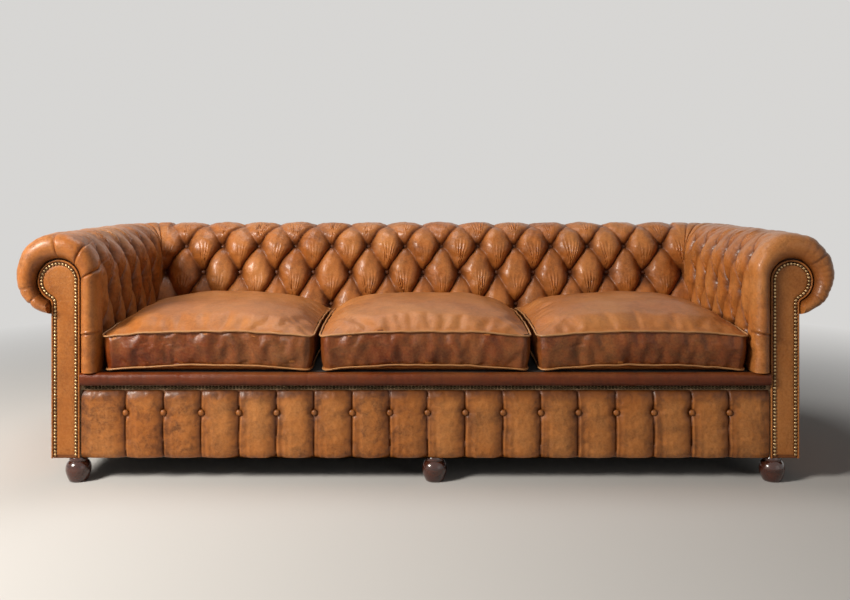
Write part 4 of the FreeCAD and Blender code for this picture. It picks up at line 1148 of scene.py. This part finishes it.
class SOFA_OT_border(bpy.types.Operator):
    """Make the pleated front border with its buttons and nails"""

    bl_idname = "sofa.border"
    bl_label = "Front border"

    def execute(self, context):
        sizes = context.scene.sofa_sizes
        half = border_high.x
        crown = border_low.y - BORDER_CROWN
        rear = border_high.y
        front_share = 0.86

        def shape(along, around):
            x_place = -half + 2 * half * along
            up = np.clip(around / front_share, 0, 1)
            height = border_low.z + (border_high.z - border_low.z) * up
            sink, fold = border_surface(sizes, x_place, height)
            y_place = crown + sink
            hidden, y_stop, z_stop = round_behind(around, front_share, 0.3)
            y_place = np.where(hidden, y_place + (rear - y_place) * y_stop, y_place)
            height = np.where(hidden, border_low.z + (border_high.z - border_low.z) * z_stop, height)
            return np.stack([x_place, y_place, height], 1), np.where(hidden, 0.3, fold)

        pad = smoothed(sealed(wrapped("front_border_pad", *BORDER_MESH, shape)), 70)
        dress(pad, MATERIALS["border"], nodes=["front_border"])
        middle = (sizes.border_buttons - 1) / 2
        matrices = [facing_matrix((sizes.border_shift + (index - middle) * sizes.border_pitch, crown + 0.0100,
                                   BORDER_BUTTON_Z),
                                  (0, -1, 0), index) for index in range(sizes.border_buttons)]
        # The border's buttons get a little painted shade
        buttons = copied(covered_button(sizes, "border_button", 0.75), matrices, "border_button_set")
        dress(buttons, MATERIALS["border"], nodes=["border_buttons"])
        row_low, row_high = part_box("border_nails")
        reach = row_high.x - sizes.nail_radius
        steps = int(2 * reach / sizes.nail_pitch)
        height = (row_low.z + row_high.z) / 2
        places = [(-reach + 2 * reach * index / steps, rail_low.y - NAIL_STAND, height)
                  for index in range(steps + 1)]
        nails = copied(dome_nail(sizes), nail_matrices(places, 81), "border_nail_row")
        # These nails take the darker brass, as painted shade under the lip
        dress(nails, MATERIALS["dark_brass"], nodes=["border_nails"])
        return {"FINISHED"}


class SOFA_OT_lip(bpy.types.Operator):
    """Make the rounded lip along the seat's front edge"""

    bl_idname = "sofa.lip"
    bl_label = "Front lip"

    def execute(self, context):
        half = lip_high.x
        middle = (lip_low.z + lip_high.z) / 2
        tall = (lip_high.z - lip_low.z) / 2
        deep = lip_high.y - lip_low.y

        def shape(along, around):
            x_place = -half + 2 * half * along
            turn = around * 2 * math.pi
            swell = 1 + 0.05 * ripple(np.stack([x_place * 3, np.cos(turn), np.sin(turn)], 1), 0.7, 91, 3)
            pinch = 0.06 * np.exp(-np.abs(ripple(np.stack([x_place, x_place * 0], 1), 0.16, 92, 2)) / 0.05)
            swell = swell - pinch
            across, rise = [np.sign(wave) * np.abs(wave) ** LIP_SQUARENESS
                            for wave in (np.cos(turn), np.sin(turn))]
            y_place = lip_low.y + deep / 2 - deep / 2 * across * swell
            y_place = np.maximum(y_place, lip_low.y - LIP_OVERHANG)
            z_place = middle + (tall - 0.0006) * rise * np.minimum(swell, 1)
            # Painted light: lighter along the top, darker underneath and in the pinches
            fold = np.clip(0.55 + 0.45 * np.sin(turn) - 2.2 * pinch, 0, 1)
            return np.stack([x_place, np.minimum(y_place, lip_high.y), z_place], 1), fold

        lip = smoothed(sealed(wrapped("front_lip_roll", *LIP_MESH, shape)), 80)
        dress(lip, MATERIALS["lip"], nodes=["front_lip"])
        return {"FINISHED"}


# Loose seat cushions
LOW_SEAM = piping_low.z + 0.0045
HIGH_SEAM = piping_high.z - 0.0045
CUSHION_BASE = cushion_low.z
CORNER = 0.026
CUSHION_CUTS = 56
LOW_INSET = 0.008
SEAM_EDGE = 0.985
BAND_EDGE = 0.999
BLOWN_CAP = 0.013
CLOTH_FRAMES = 20
CLOTH = {
    "quality": 4,
    "mass": 0.35,
    "tension_stiffness": 18,
    "compression_stiffness": 14,
    "shear_stiffness": 8,
    "bending_stiffness": 0.35,
    "shrink_min": -0.035,
    "vertex_group_mass": "held",
    "use_pressure": True,
    "uniform_pressure_force": 4.0,
}
# Drop of a seam at a cushion's corners, and its rise in the middle of an edge
HIGH_SEAM_WAVE = (0.014, 0.017)
LOW_SEAM_WAVE = (0.010, 0.018)


def plan_edge(angle_share, half_x, half_y, corner):
    """A point of a rounded rectangle for each share of the way round its edge."""
    straight_x, straight_y = half_x - corner, half_y - corner
    bend = corner * math.pi / 2
    lengths = [2 * straight_x, bend, 2 * straight_y, bend] * 2
    total = sum(lengths)
    left = angle_share % 1.0 * total
    x_place, y_place = np.zeros_like(left), np.zeros_like(left)
    starts = np.concatenate([[0], np.cumsum(lengths)])
    corners = [None, (straight_x, -straight_y, -90), None, (straight_x, straight_y, 0), None,
               (-straight_x, straight_y, 90), None, (-straight_x, -straight_y, 180)]
    lines = {0: ((-straight_x, -half_y), (1, 0)), 2: ((half_x, -straight_y), (0, 1)),
             4: ((straight_x, half_y), (-1, 0)), 6: ((-half_x, straight_y), (0, -1))}
    for index in range(8):
        inside = (left >= starts[index]) & (left <= starts[index + 1])
        gone = left - starts[index]
        if index in lines:
            (x_start, y_start), (x_way, y_way) = lines[index]
            x_place = np.where(inside, x_start + x_way * gone, x_place)
            y_place = np.where(inside, y_start + y_way * gone, y_place)
        else:
            x_mid, y_mid, degrees = corners[index]
            turn = math.radians(degrees) + gone / corner
            x_place = np.where(inside, x_mid + corner * np.cos(turn), x_place)
            y_place = np.where(inside, y_mid + corner * np.sin(turn), y_place)
    return x_place, y_place


def seam_height(x_share, y_share, high, seed):
    """Seams ride up in the middle of an edge and waver a little."""
    base = HIGH_SEAM if high else LOW_SEAM
    drop, rise = HIGH_SEAM_WAVE if high else LOW_SEAM_WAVE
    base = base - drop
    along = np.minimum(np.abs(x_share), np.abs(y_share))
    lift = rise * (1 - np.minimum(along, 1) ** 2.4)
    lift = lift * step_smooth(0.55, 0.9, np.maximum(np.abs(x_share), np.abs(y_share)))
    return base + lift + 0.0012 * ripple(np.stack([x_share * 3, y_share * 3], 1), 1.1, seed, 2)


def cushion_form(name, middle_x, seed, sizes):
    """The cushion before it is blown up: a cube cut fine and shaped."""
    half_x = (cushion_high.x - cushion_low.x) / 2
    front, rear = cushion_low.y + 0.008, cushion_high.y - 0.008
    half_y, middle_y = (rear - front) / 2, (rear + front) / 2
    nothing_selected()
    bpy.ops.mesh.primitive_cube_add(size=2)
    piece = bpy.context.object
    piece.name = name
    bpy.ops.object.mode_set(mode="EDIT")
    bpy.ops.mesh.subdivide(number_cuts=CUSHION_CUTS)
    bpy.ops.object.mode_set(mode="OBJECT")
    cube = get_points(piece)
    x_share, y_share, up_share = cube[:, 0], cube[:, 1], cube[:, 2]
    reach = np.maximum(np.abs(x_share), np.abs(y_share))
    corner = CORNER / half_x
    limit = 1 - corner
    over_x = np.maximum(np.abs(x_share) - limit * reach, 0)
    over_y = np.maximum(np.abs(y_share) - limit * reach, 0)
    both = np.hypot(over_x, over_y)
    scale = np.where(both > 1e-9, np.minimum(corner * reach / np.maximum(both, 1e-9), 1), 1)
    round_x = np.sign(x_share) * (np.abs(x_share) - over_x + over_x * scale)
    round_y = np.sign(y_share) * (np.abs(y_share) - over_y + over_y * scale)
    band = reach > BAND_EDGE
    up = np.clip(up_share, -1, 1)
    bulge = np.where(band, 0.009 * (1 - up ** 2), 0)
    pull = 0.004 * band
    taper = LOW_INSET * (1 - up) / 2
    x_bulge = np.sign(x_share) * bulge * (np.abs(x_share) > 0.98) * 0.3
    y_bulge = np.sign(y_share) * bulge * (np.abs(y_share) > 0.98)
    x_place = middle_x + round_x * (half_x - taper - pull * (1 - y_share ** 2)) + x_bulge
    y_place = middle_y + round_y * (half_y - taper - pull * (1 - x_share ** 2)) + y_bulge
    high = seam_height(x_share, y_share, True, seed)
    low = seam_height(x_share, y_share, False, seed + 1)
    z_place = low + (high - low) * (up + 1) / 2
    top = (up_share > BAND_EDGE) & ~band
    under = (up_share < -BAND_EDGE) & ~band
    crown = sizes.cushion_crown * (1 - np.abs(x_share) ** 3.2) ** 0.9 * (1 - np.abs(y_share) ** 3.0) ** 0.8
    tilt = 1 + 0.06 * ripple(np.stack([x_share, y_share], 1), 2.4, seed + 2, 2)
    z_place = np.where(top, HIGH_SEAM + (high - HIGH_SEAM) * reach ** 4 + crown * tilt * 0.93, z_place)
    sag = (LOW_SEAM - CUSHION_BASE) * np.minimum((1 - reach) / 0.08, 1) ** 0.6
    z_place = np.where(under, LOW_SEAM - sag, z_place)
    set_points(piece, np.stack([x_place, y_place, z_place], 1))
    seam = (reach > SEAM_EDGE) & (np.abs(up_share) > SEAM_EDGE)
    held = seam | (up_share < -BAND_EDGE)
    return piece, held, np.stack([x_share, y_share, up_share], 1)


def blown_up(piece, held, cap):
    """Blow up a cushion as cloth, with its seams held, and keep each point within a cap of its start."""
    start = get_points(piece)
    group = piece.vertex_groups.new(name="held")
    group.add(np.nonzero(held)[0].tolist(), 1.0, "REPLACE")
    only(piece)
    cloth = piece.modifiers.new("stuffing", "CLOTH")
    for setting, value in CLOTH.items():
        setattr(cloth.settings, setting, value)
    cloth.settings.effector_weights.gravity = 0.0
    cloth.collision_settings.use_collision = False
    cloth.collision_settings.use_self_collision = False
    for number in range(1, CLOTH_FRAMES + 1):
        bpy.context.scene.frame_set(number)
    bpy.ops.object.modifier_apply(modifier="stuffing")
    bpy.context.scene.frame_set(1)
    moved = get_points(piece) - start
    length = np.linalg.norm(moved, axis=1)
    keep = np.where(length > cap, cap / np.maximum(length, 1e-9), 1)
    set_points(piece, start + moved * keep[:, None])
    piece.vertex_groups.clear()
    return piece


class SOFA_OT_cushions(bpy.types.Operator):
    """Make the three loose seat cushions with piping and zips"""

    bl_idname = "sofa.cushions"
    bl_label = "Loose cushions"

    def execute(self, context):
        sizes = context.scene.sofa_sizes
        for index, name in enumerate(CUSHIONS):
            self.cushion(sizes, name, 101 + 7 * index)
        return {"FINISHED"}

    def cushion(self, sizes, name, seed):
        low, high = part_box(f"cushion_{name}_cover")
        middle_x = (low.x + high.x) / 2
        body = f"cushion_{name}"
        piece, held, shares = cushion_form(f"{body}_leather", middle_x, seed, sizes)
        reach = np.maximum(np.abs(shares[:, 0]), np.abs(shares[:, 1]))
        blown_up(piece, held, BLOWN_CAP)
        points = get_points(piece)
        band = (reach > BAND_EDGE) & (np.abs(shares[:, 2]) < BAND_EDGE)
        upright = np.stack([points[:, 0] - middle_x, points[:, 1], points[:, 2] * 0.20], 1)
        wave = ripple(upright, 0.050, seed + 3, 3)
        inward = 0.0034 * wave * (1 - shares[:, 2] ** 4) * band
        points[:, 1] += inward * (np.abs(shares[:, 1]) > 0.98) * -np.sign(shares[:, 1])
        top = shares[:, 2] > BAND_EDGE
        pucker = ripple(np.stack([points[:, 0], points[:, 1]], 1), 0.045, seed + 4, 2)
        near_seam = np.exp(-(1 - reach) / 0.09) * (reach < SEAM_EDGE)
        hollow = ripple(np.stack([points[:, 0], points[:, 1]], 1), 0.30, seed + 6, 2)
        points[:, 2] += (0.0026 * pucker * near_seam + 0.0030 * hollow * step_smooth(1.0, 0.8, reach)) * top
        points[:, 2] = np.maximum(points[:, 2], CUSHION_BASE)
        half = (cushion_high.x - cushion_low.x) / 2 + 0.006
        points[:, 0] = np.clip(points[:, 0], middle_x - half, middle_x + half)
        set_points(piece, points)
        # Painted shade along the seams and in the troughs of the bands' wrinkles
        seam = np.exp(-np.maximum(SEAM_EDGE - reach, 0) / 0.02) * (np.abs(shares[:, 2]) > 0.9)
        fold = 1 - 0.45 * seam * (reach < BAND_EDGE) - 0.12 * np.clip(-wave, 0, 1) * band
        mark(piece, "fold", fold)
        only(piece)
        smooth = piece.modifiers.new("smooth", "SUBSURF")
        smooth.levels = 1
        smooth.render_levels = 1
        bpy.ops.object.modifier_apply(modifier="smooth")
        smoothed(piece, 80)
        dress(piece, MATERIALS["cushion"], body, [f"{body}_cover", f"{body}_core"])
        self.paint_bands(piece)
        self.piping(sizes, middle_x, seed, body)
        self.closure(body)

    def paint_bands(self, piece):
        """The bands round a cushion are of redder leather than its top."""
        piece.data.materials.append(MATERIALS["band"])
        for face in piece.data.polygons:
            if abs(face.normal.z) < 0.55 and LOW_SEAM - 0.002 < face.center.z < HIGH_SEAM + 0.010:
                face.material_index = 1

    def piping(self, sizes, middle_x, seed, body):
        half_x = (piping_high.x - piping_low.x) / 2 - sizes.piping_radius - 0.0010
        front, rear = piping_low.y + sizes.piping_radius, piping_high.y - sizes.piping_radius
        half_y, middle_y = (rear - front) / 2, (rear + front) / 2
        cords = []
        for high in (True, False):
            shares = np.linspace(0, 1, 461)[:-1]
            inset = 0.0030 if high else 0.0030 + LOW_INSET
            x_place, y_place = plan_edge(shares, half_x - inset, half_y - inset, CORNER + 0.001)
            height = seam_height(x_place / half_x, y_place / half_y, high, seed + (0 if high else 1))
            route = np.stack([x_place + middle_x, y_place + middle_y, height], 1)
            cords.append(cord_along(f"{body}_cord", route, sizes.cushion_cord, 10, True, seed + 9))
        piping = joined(f"{body}_cord", cords)
        dress(piping, MATERIALS["piping"], body, [f"{body}_piping"])

    def closure(self, body):
        for node, material in ((f"{body}_zip", "zip"), (f"{body}_zip_slider", "brass")):
            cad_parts[node].data.materials.clear()
            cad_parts[node].data.materials.append(MATERIALS[material])


# Outside panels, feet, deck and lining
class SOFA_OT_panels(bpy.types.Operator):
    """Make the padded leather panels outside the arms and back"""

    bl_idname = "sofa.panels"
    bl_label = "Outside panels"

    def execute(self, context):
        for name, side in SIDES:
            low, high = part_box(f"outside_arm_{name}")
            self.panel(f"outside_arm_hide_{name}", f"outside_arm_{name}", low, high, "x", side)
        low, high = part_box("outside_back")
        self.panel("outside_back_hide", "outside_back", low, high, "y", 1)
        return {"FINISHED"}

    def panel(self, name, node, low, high, way, side):
        long_low, long_high = (low.y, high.y) if way == "x" else (low.x, high.x)
        outer, inner = (high.x, low.x) if side > 0 else (low.x, high.x)
        if way == "y":
            outer, inner = high.y, low.y
        columns = int((long_high - long_low) / 0.012)
        seed = 140 + len(name)
        front_share = 0.9

        def shape(along, around):
            length = long_low + (long_high - long_low) * along
            front = np.clip(around / front_share, 0, 1)
            height = low.z + (high.z - low.z) * front
            ends = np.minimum(along, 1 - along) * (long_high - long_low)
            rise = np.minimum(front, 1 - front) * (high.z - low.z)
            swell = (1 - np.exp(-ends / 0.03)) * (1 - np.exp(-rise / 0.03))
            waver = 0.0016 * ripple(np.stack([length, height], 1), 0.22, seed) * swell
            puckers = 0.0012 * ripple(np.stack([length, height * 0.2], 1), 0.05, seed + 1, 2)
            puckers = puckers * np.exp(-np.minimum(rise, 0.2) / 0.05)
            out = outer + side * (0.004 * swell - 0.004 + waver + puckers * (ends > 0.01))
            hidden, depth_share, height_share = round_behind(around, front_share, 0.3)
            out = np.where(hidden, out + (inner - out) * depth_share, out)
            height = np.where(hidden, low.z + (high.z - low.z) * height_share, height)
            # Painted shade: darker toward the panel's edges, and darker still on its hidden side
            fold = np.where(hidden, 0.4, 0.65 + 0.35 * swell)
            if way == "x":
                return np.stack([out, length, height], 1), fold
            return np.stack([length, out, height], 1), fold

        panel = smoothed(sealed(wrapped(name, columns, 60, shape)), 60)
        dress(panel, MATERIALS["border"], nodes=[node])


# Radius and height up a foot, to where it meets the sofa
FOOT_PROFILE = ((0.0, 0.0), (0.024, 0.0), (0.0268, 0.0012), (0.0292, 0.006), (0.0330, 0.015),
                (0.0358, 0.024), (0.0373, 0.033), (0.0370, 0.042), (0.0350, 0.050), (0.0312, 0.057),
                (0.0272, 0.0606), (0.0262, 0.0616), (0.0268, 0.0628), (0.0270, 0.0665),
                (0.0262, 0.0700), (0.0255, 0.0722))
FOOT_SIDES = 48


class SOFA_OT_feet(bpy.types.Operator):
    """Turn the bun feet"""

    bl_idname = "sofa.feet"
    bl_label = "Feet"

    def execute(self, context):
        height = feet_high.z
        profile = np.array([*FOOT_PROFILE, (0.0245, height), (0.0, height)])

        def shape(along, around):
            index = np.minimum(np.round(around * (len(profile) - 1)).astype(int), len(profile) - 1)
            turn = along * 2 * math.pi
            reach = profile[index, 0]
            return (np.stack([reach * np.cos(turn), reach * np.sin(turn), profile[index, 1]], 1),
                    np.ones_like(turn))

        foot = wrapped("foot", FOOT_SIDES, len(profile) - 1, shape)
        smoothed(sealed(foot), 50)
        places = self.centres(get_points(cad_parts["feet"]))
        matrices = [Matrix.Translation((x_place, y_place, 0)) @ Matrix.Rotation(x_place, 4, "Z")
                    for x_place, y_place in places]
        feet = copied(foot, matrices, "bun_feet")
        dress(feet, MATERIALS["foot"], nodes=["feet"])
        return {"FINISHED"}

    def centres(self, points):
        """The middles of the six feet, from the frame's own solid."""
        places = []
        left = points[:, :2]
        while len(left):
            near = np.hypot(*(left - left[0]).T) < 0.12
            group = left[near]
            places.append(tuple((group.min(0) + group.max(0)) / 2))
            left = left[~near]
        return places


class SOFA_OT_deck(bpy.types.Operator):
    """Cover the seat deck and close the underside"""

    bl_idname = "sofa.deck"
    bl_label = "Deck and lining"

    def execute(self, context):
        self.deck()
        self.dust_cover()
        return {"FINISHED"}

    def deck(self):
        low, high = deck_low, deck_high
        front_share = 0.85

        def shape(along, around):
            x_place = low.x + (high.x - low.x) * along
            front = np.clip(around / front_share, 0, 1)
            y_place = low.y + (high.y - low.y) * front
            edge = np.minimum(np.minimum(x_place - low.x, high.x - x_place),
                              np.minimum(y_place - low.y, high.y - y_place))
            seam = np.exp(-np.abs(y_place - low.y - 0.09) / 0.003)
            top = high.z - 0.006 * np.exp(-edge / 0.008) - 0.002 * seam
            top = top - 0.0008 * np.abs(ripple(np.stack([x_place, y_place], 1), 0.2, 150))
            hidden, depth_share, y_share = round_behind(around, front_share, 0.25)
            z_place = np.where(hidden, low.z + (top - low.z) * (1 - depth_share), top)
            y_place = np.where(hidden, low.y + (high.y - low.y) * y_share, y_place)
            return np.stack([x_place, y_place, z_place], 1), np.ones_like(along)

        deck = smoothed(sealed(wrapped("seat_deck_cloth", 180, 70, shape)), 60)
        dress(deck, MATERIALS["lining"], nodes=["seat_deck"])

    def dust_cover(self):
        low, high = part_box("dust_cover")
        nothing_selected()
        bpy.ops.mesh.primitive_grid_add(x_subdivisions=90, y_subdivisions=36, size=2)
        cover = bpy.context.object
        cover.name = "dust_cover_cloth"
        points = get_points(cover)
        width, depth = (high.x - low.x) / 2, (high.y - low.y) / 2
        sag = (1 - points[:, 0] ** 4) * (1 - points[:, 1] ** 4)
        wave = ripple(points[:, :2], 0.5, 160)
        points = np.stack([points[:, 0] * width + (low.x + high.x) / 2,
                           points[:, 1] * depth + (low.y + high.y) / 2,
                           low.z + 0.0006 - 0.004 * sag + 0.0008 * wave * sag], 1)
        set_points(cover, points)
        only(cover)
        solid = cover.modifiers.new("cloth", "SOLIDIFY")
        solid.thickness = 0.0006
        bpy.ops.object.modifier_apply(modifier="cloth")
        smoothed(cover, 60)
        dress(cover, MATERIALS["lining"], nodes=["dust_cover"])


class SOFA_OT_inner(bpy.types.Operator):
    """Finish the wood, webbing and springs inside"""

    bl_idname = "sofa.inner"
    bl_label = "Inner pieces"

    def execute(self, context):
        for name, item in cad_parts.items():
            kind = self.finish_of(name)
            if kind is None:
                continue
            item.data.materials.clear()
            item.data.materials.append(MATERIALS[kind])
        return {"FINISHED"}

    def finish_of(self, name):
        if "webbing" in name:
            return "jute"
        if name in ("seat_springs", "spring_clips", "foot_bolts"):
            return "steel"
        if any(word in name for word in ("rail", "post", "upright", "stretcher", "corner_block")):
            return "frame"
        return None


# Name, place, width, power and colour
LIGHTS = (
    ("key_light", (-3.0, -2.3, 2.2), 0.95, 185, (1.0, 0.94, 0.86)),
    ("fill_light", (3.2, -3.8, 1.6), 2.4, 9, (1.0, 0.97, 0.93)),
    ("top_light", (-0.6, 0.3, 2.8), 1.3, 24, (1.0, 0.97, 0.93)),
)
SURROUND = 0.13
FLOOR_FADE = (1.5, 3.6)
BACKDROP = (0.68, 0.67, 0.655)


def seen_directly(tree):
    """1 for rays from the camera, mirrors and glass, else 0."""
    path = tree.nodes.new("ShaderNodeLightPath").outputs
    both = maths(tree, "ADD", path["Is Camera Ray"], path["Is Glossy Ray"])
    return maths(tree, "ADD", both, path["Is Transmission Ray"], clamp=True)


class SOFA_OT_stage(bpy.types.Operator):
    """Set the pale floor, the soft light and the camera"""

    bl_idname = "sofa.stage"
    bl_label = "Stage"

    def execute(self, context):
        self.floor(context.scene.sofa_colours)
        self.lights()
        self.camera(context.scene.sofa_sizes)
        return {"FINISHED"}

    def floor(self, colours):
        nothing_selected()
        bpy.ops.mesh.primitive_plane_add(size=60)
        floor = bpy.context.object
        floor.name = "studio_floor"
        material, tree, shader = new_material("pale_floor")
        cloudy = noise(tree, place_output(tree), 0.8)
        tint = tuple(colours.floor)
        low = tuple(channel * 0.97 for channel in tint)
        near = mix_colour(tree, cloudy, (*low, 1), (*tint, 1))
        length = tree.nodes.new("ShaderNodeVectorMath")
        length.operation = "LENGTH"
        link(tree, place_output(tree), length.inputs[0])
        far = remap(tree, length.outputs["Value"], *FLOOR_FADE)
        link(tree, mix_colour(tree, far, near, (0, 0, 0, 1)), shader.inputs["Base Color"])
        shown = maths(tree, "MULTIPLY", far, seen_directly(tree))
        link(tree, mix_colour(tree, shown, (0, 0, 0, 1), (*BACKDROP, 1)), shader.inputs["Emission Color"])
        set_inputs(shader, {"Emission Strength": 1.0, "Specular IOR Level": 0.0, "Roughness": 0.75})
        floor.data.materials.append(material)

    def lights(self):
        for light in LIGHTS:
            self.area(*light)
        world = bpy.data.worlds.new("studio")
        bpy.context.scene.world = world
        world.use_nodes = True
        tree = world.node_tree
        back = tree.nodes["Background"]
        back.inputs["Color"].default_value = (*BACKDROP, 1)
        link(tree, remap(tree, seen_directly(tree), 0, 1, SURROUND, 1.0), back.inputs["Strength"])

    def area(self, name, place, width, power, tint):
        data = bpy.data.lights.new(name, "AREA")
        data.shape = "SQUARE"
        data.size = width
        data.energy = power
        data.color = tint
        light = bpy.data.objects.new(name, data)
        bpy.context.collection.objects.link(light)
        light.location = place
        aim = Vector((0, 0, 0.45)) - Vector(place)
        light.rotation_euler = aim.to_track_quat("-Z", "Y").to_euler()

    def camera(self, sizes):
        data = bpy.data.cameras.new("view")
        data.sensor_width = 36
        data.lens = sizes.camera_lens
        data.shift_x = sizes.camera_side_shift
        data.shift_y = sizes.camera_shift
        camera = bpy.data.objects.new("view", data)
        bpy.context.collection.objects.link(camera)
        camera.location = (sizes.camera_across, FACING_Y - sizes.camera_distance, sizes.camera_height)
        camera.rotation_euler = (math.pi / 2, 0, 0)
        bpy.context.scene.camera = camera


class SOFA_PT_panel(bpy.types.Panel):
    """Sizes, colours and pieces of the sofa"""

    bl_idname = "SOFA_PT_panel"
    bl_label = "Chesterfield sofa"
    bl_space_type = "VIEW_3D"
    bl_region_type = "UI"
    bl_category = "Sofa"

    def draw(self, context):
        layout = self.layout
        for group in (context.scene.sofa_sizes, context.scene.sofa_colours):
            box = layout.box()
            for name in group.bl_rna.properties.keys():
                if name not in ("rna_type", "name"):
                    box.prop(group, name)
        for operator in OPERATORS:
            layout.operator(operator.bl_idname)


OPERATORS = (SOFA_OT_inner, SOFA_OT_back, SOFA_OT_arms, SOFA_OT_facings, SOFA_OT_border, SOFA_OT_lip,
             SOFA_OT_cushions, SOFA_OT_panels, SOFA_OT_feet, SOFA_OT_deck, SOFA_OT_stage)
CLASSES = (SofaSizes, SofaColours, *OPERATORS, SOFA_PT_panel)


def register():
    for item in CLASSES:
        bpy.utils.register_class(item)
    bpy.types.Scene.sofa_sizes = PointerProperty(type=SofaSizes)
    bpy.types.Scene.sofa_colours = PointerProperty(type=SofaColours)


def unregister():
    del bpy.types.Scene.sofa_colours
    del bpy.types.Scene.sofa_sizes
    for item in reversed(CLASSES):
        bpy.utils.unregister_class(item)


def main():
    register()
    bpy.context.scene.view_settings.view_transform = "Standard"
    make_materials(bpy.context.scene.sofa_colours)
    for operator in OPERATORS:
        getattr(bpy.ops.sofa, operator.bl_idname.split(".")[1])()


if __name__ == "__main__":
    main()
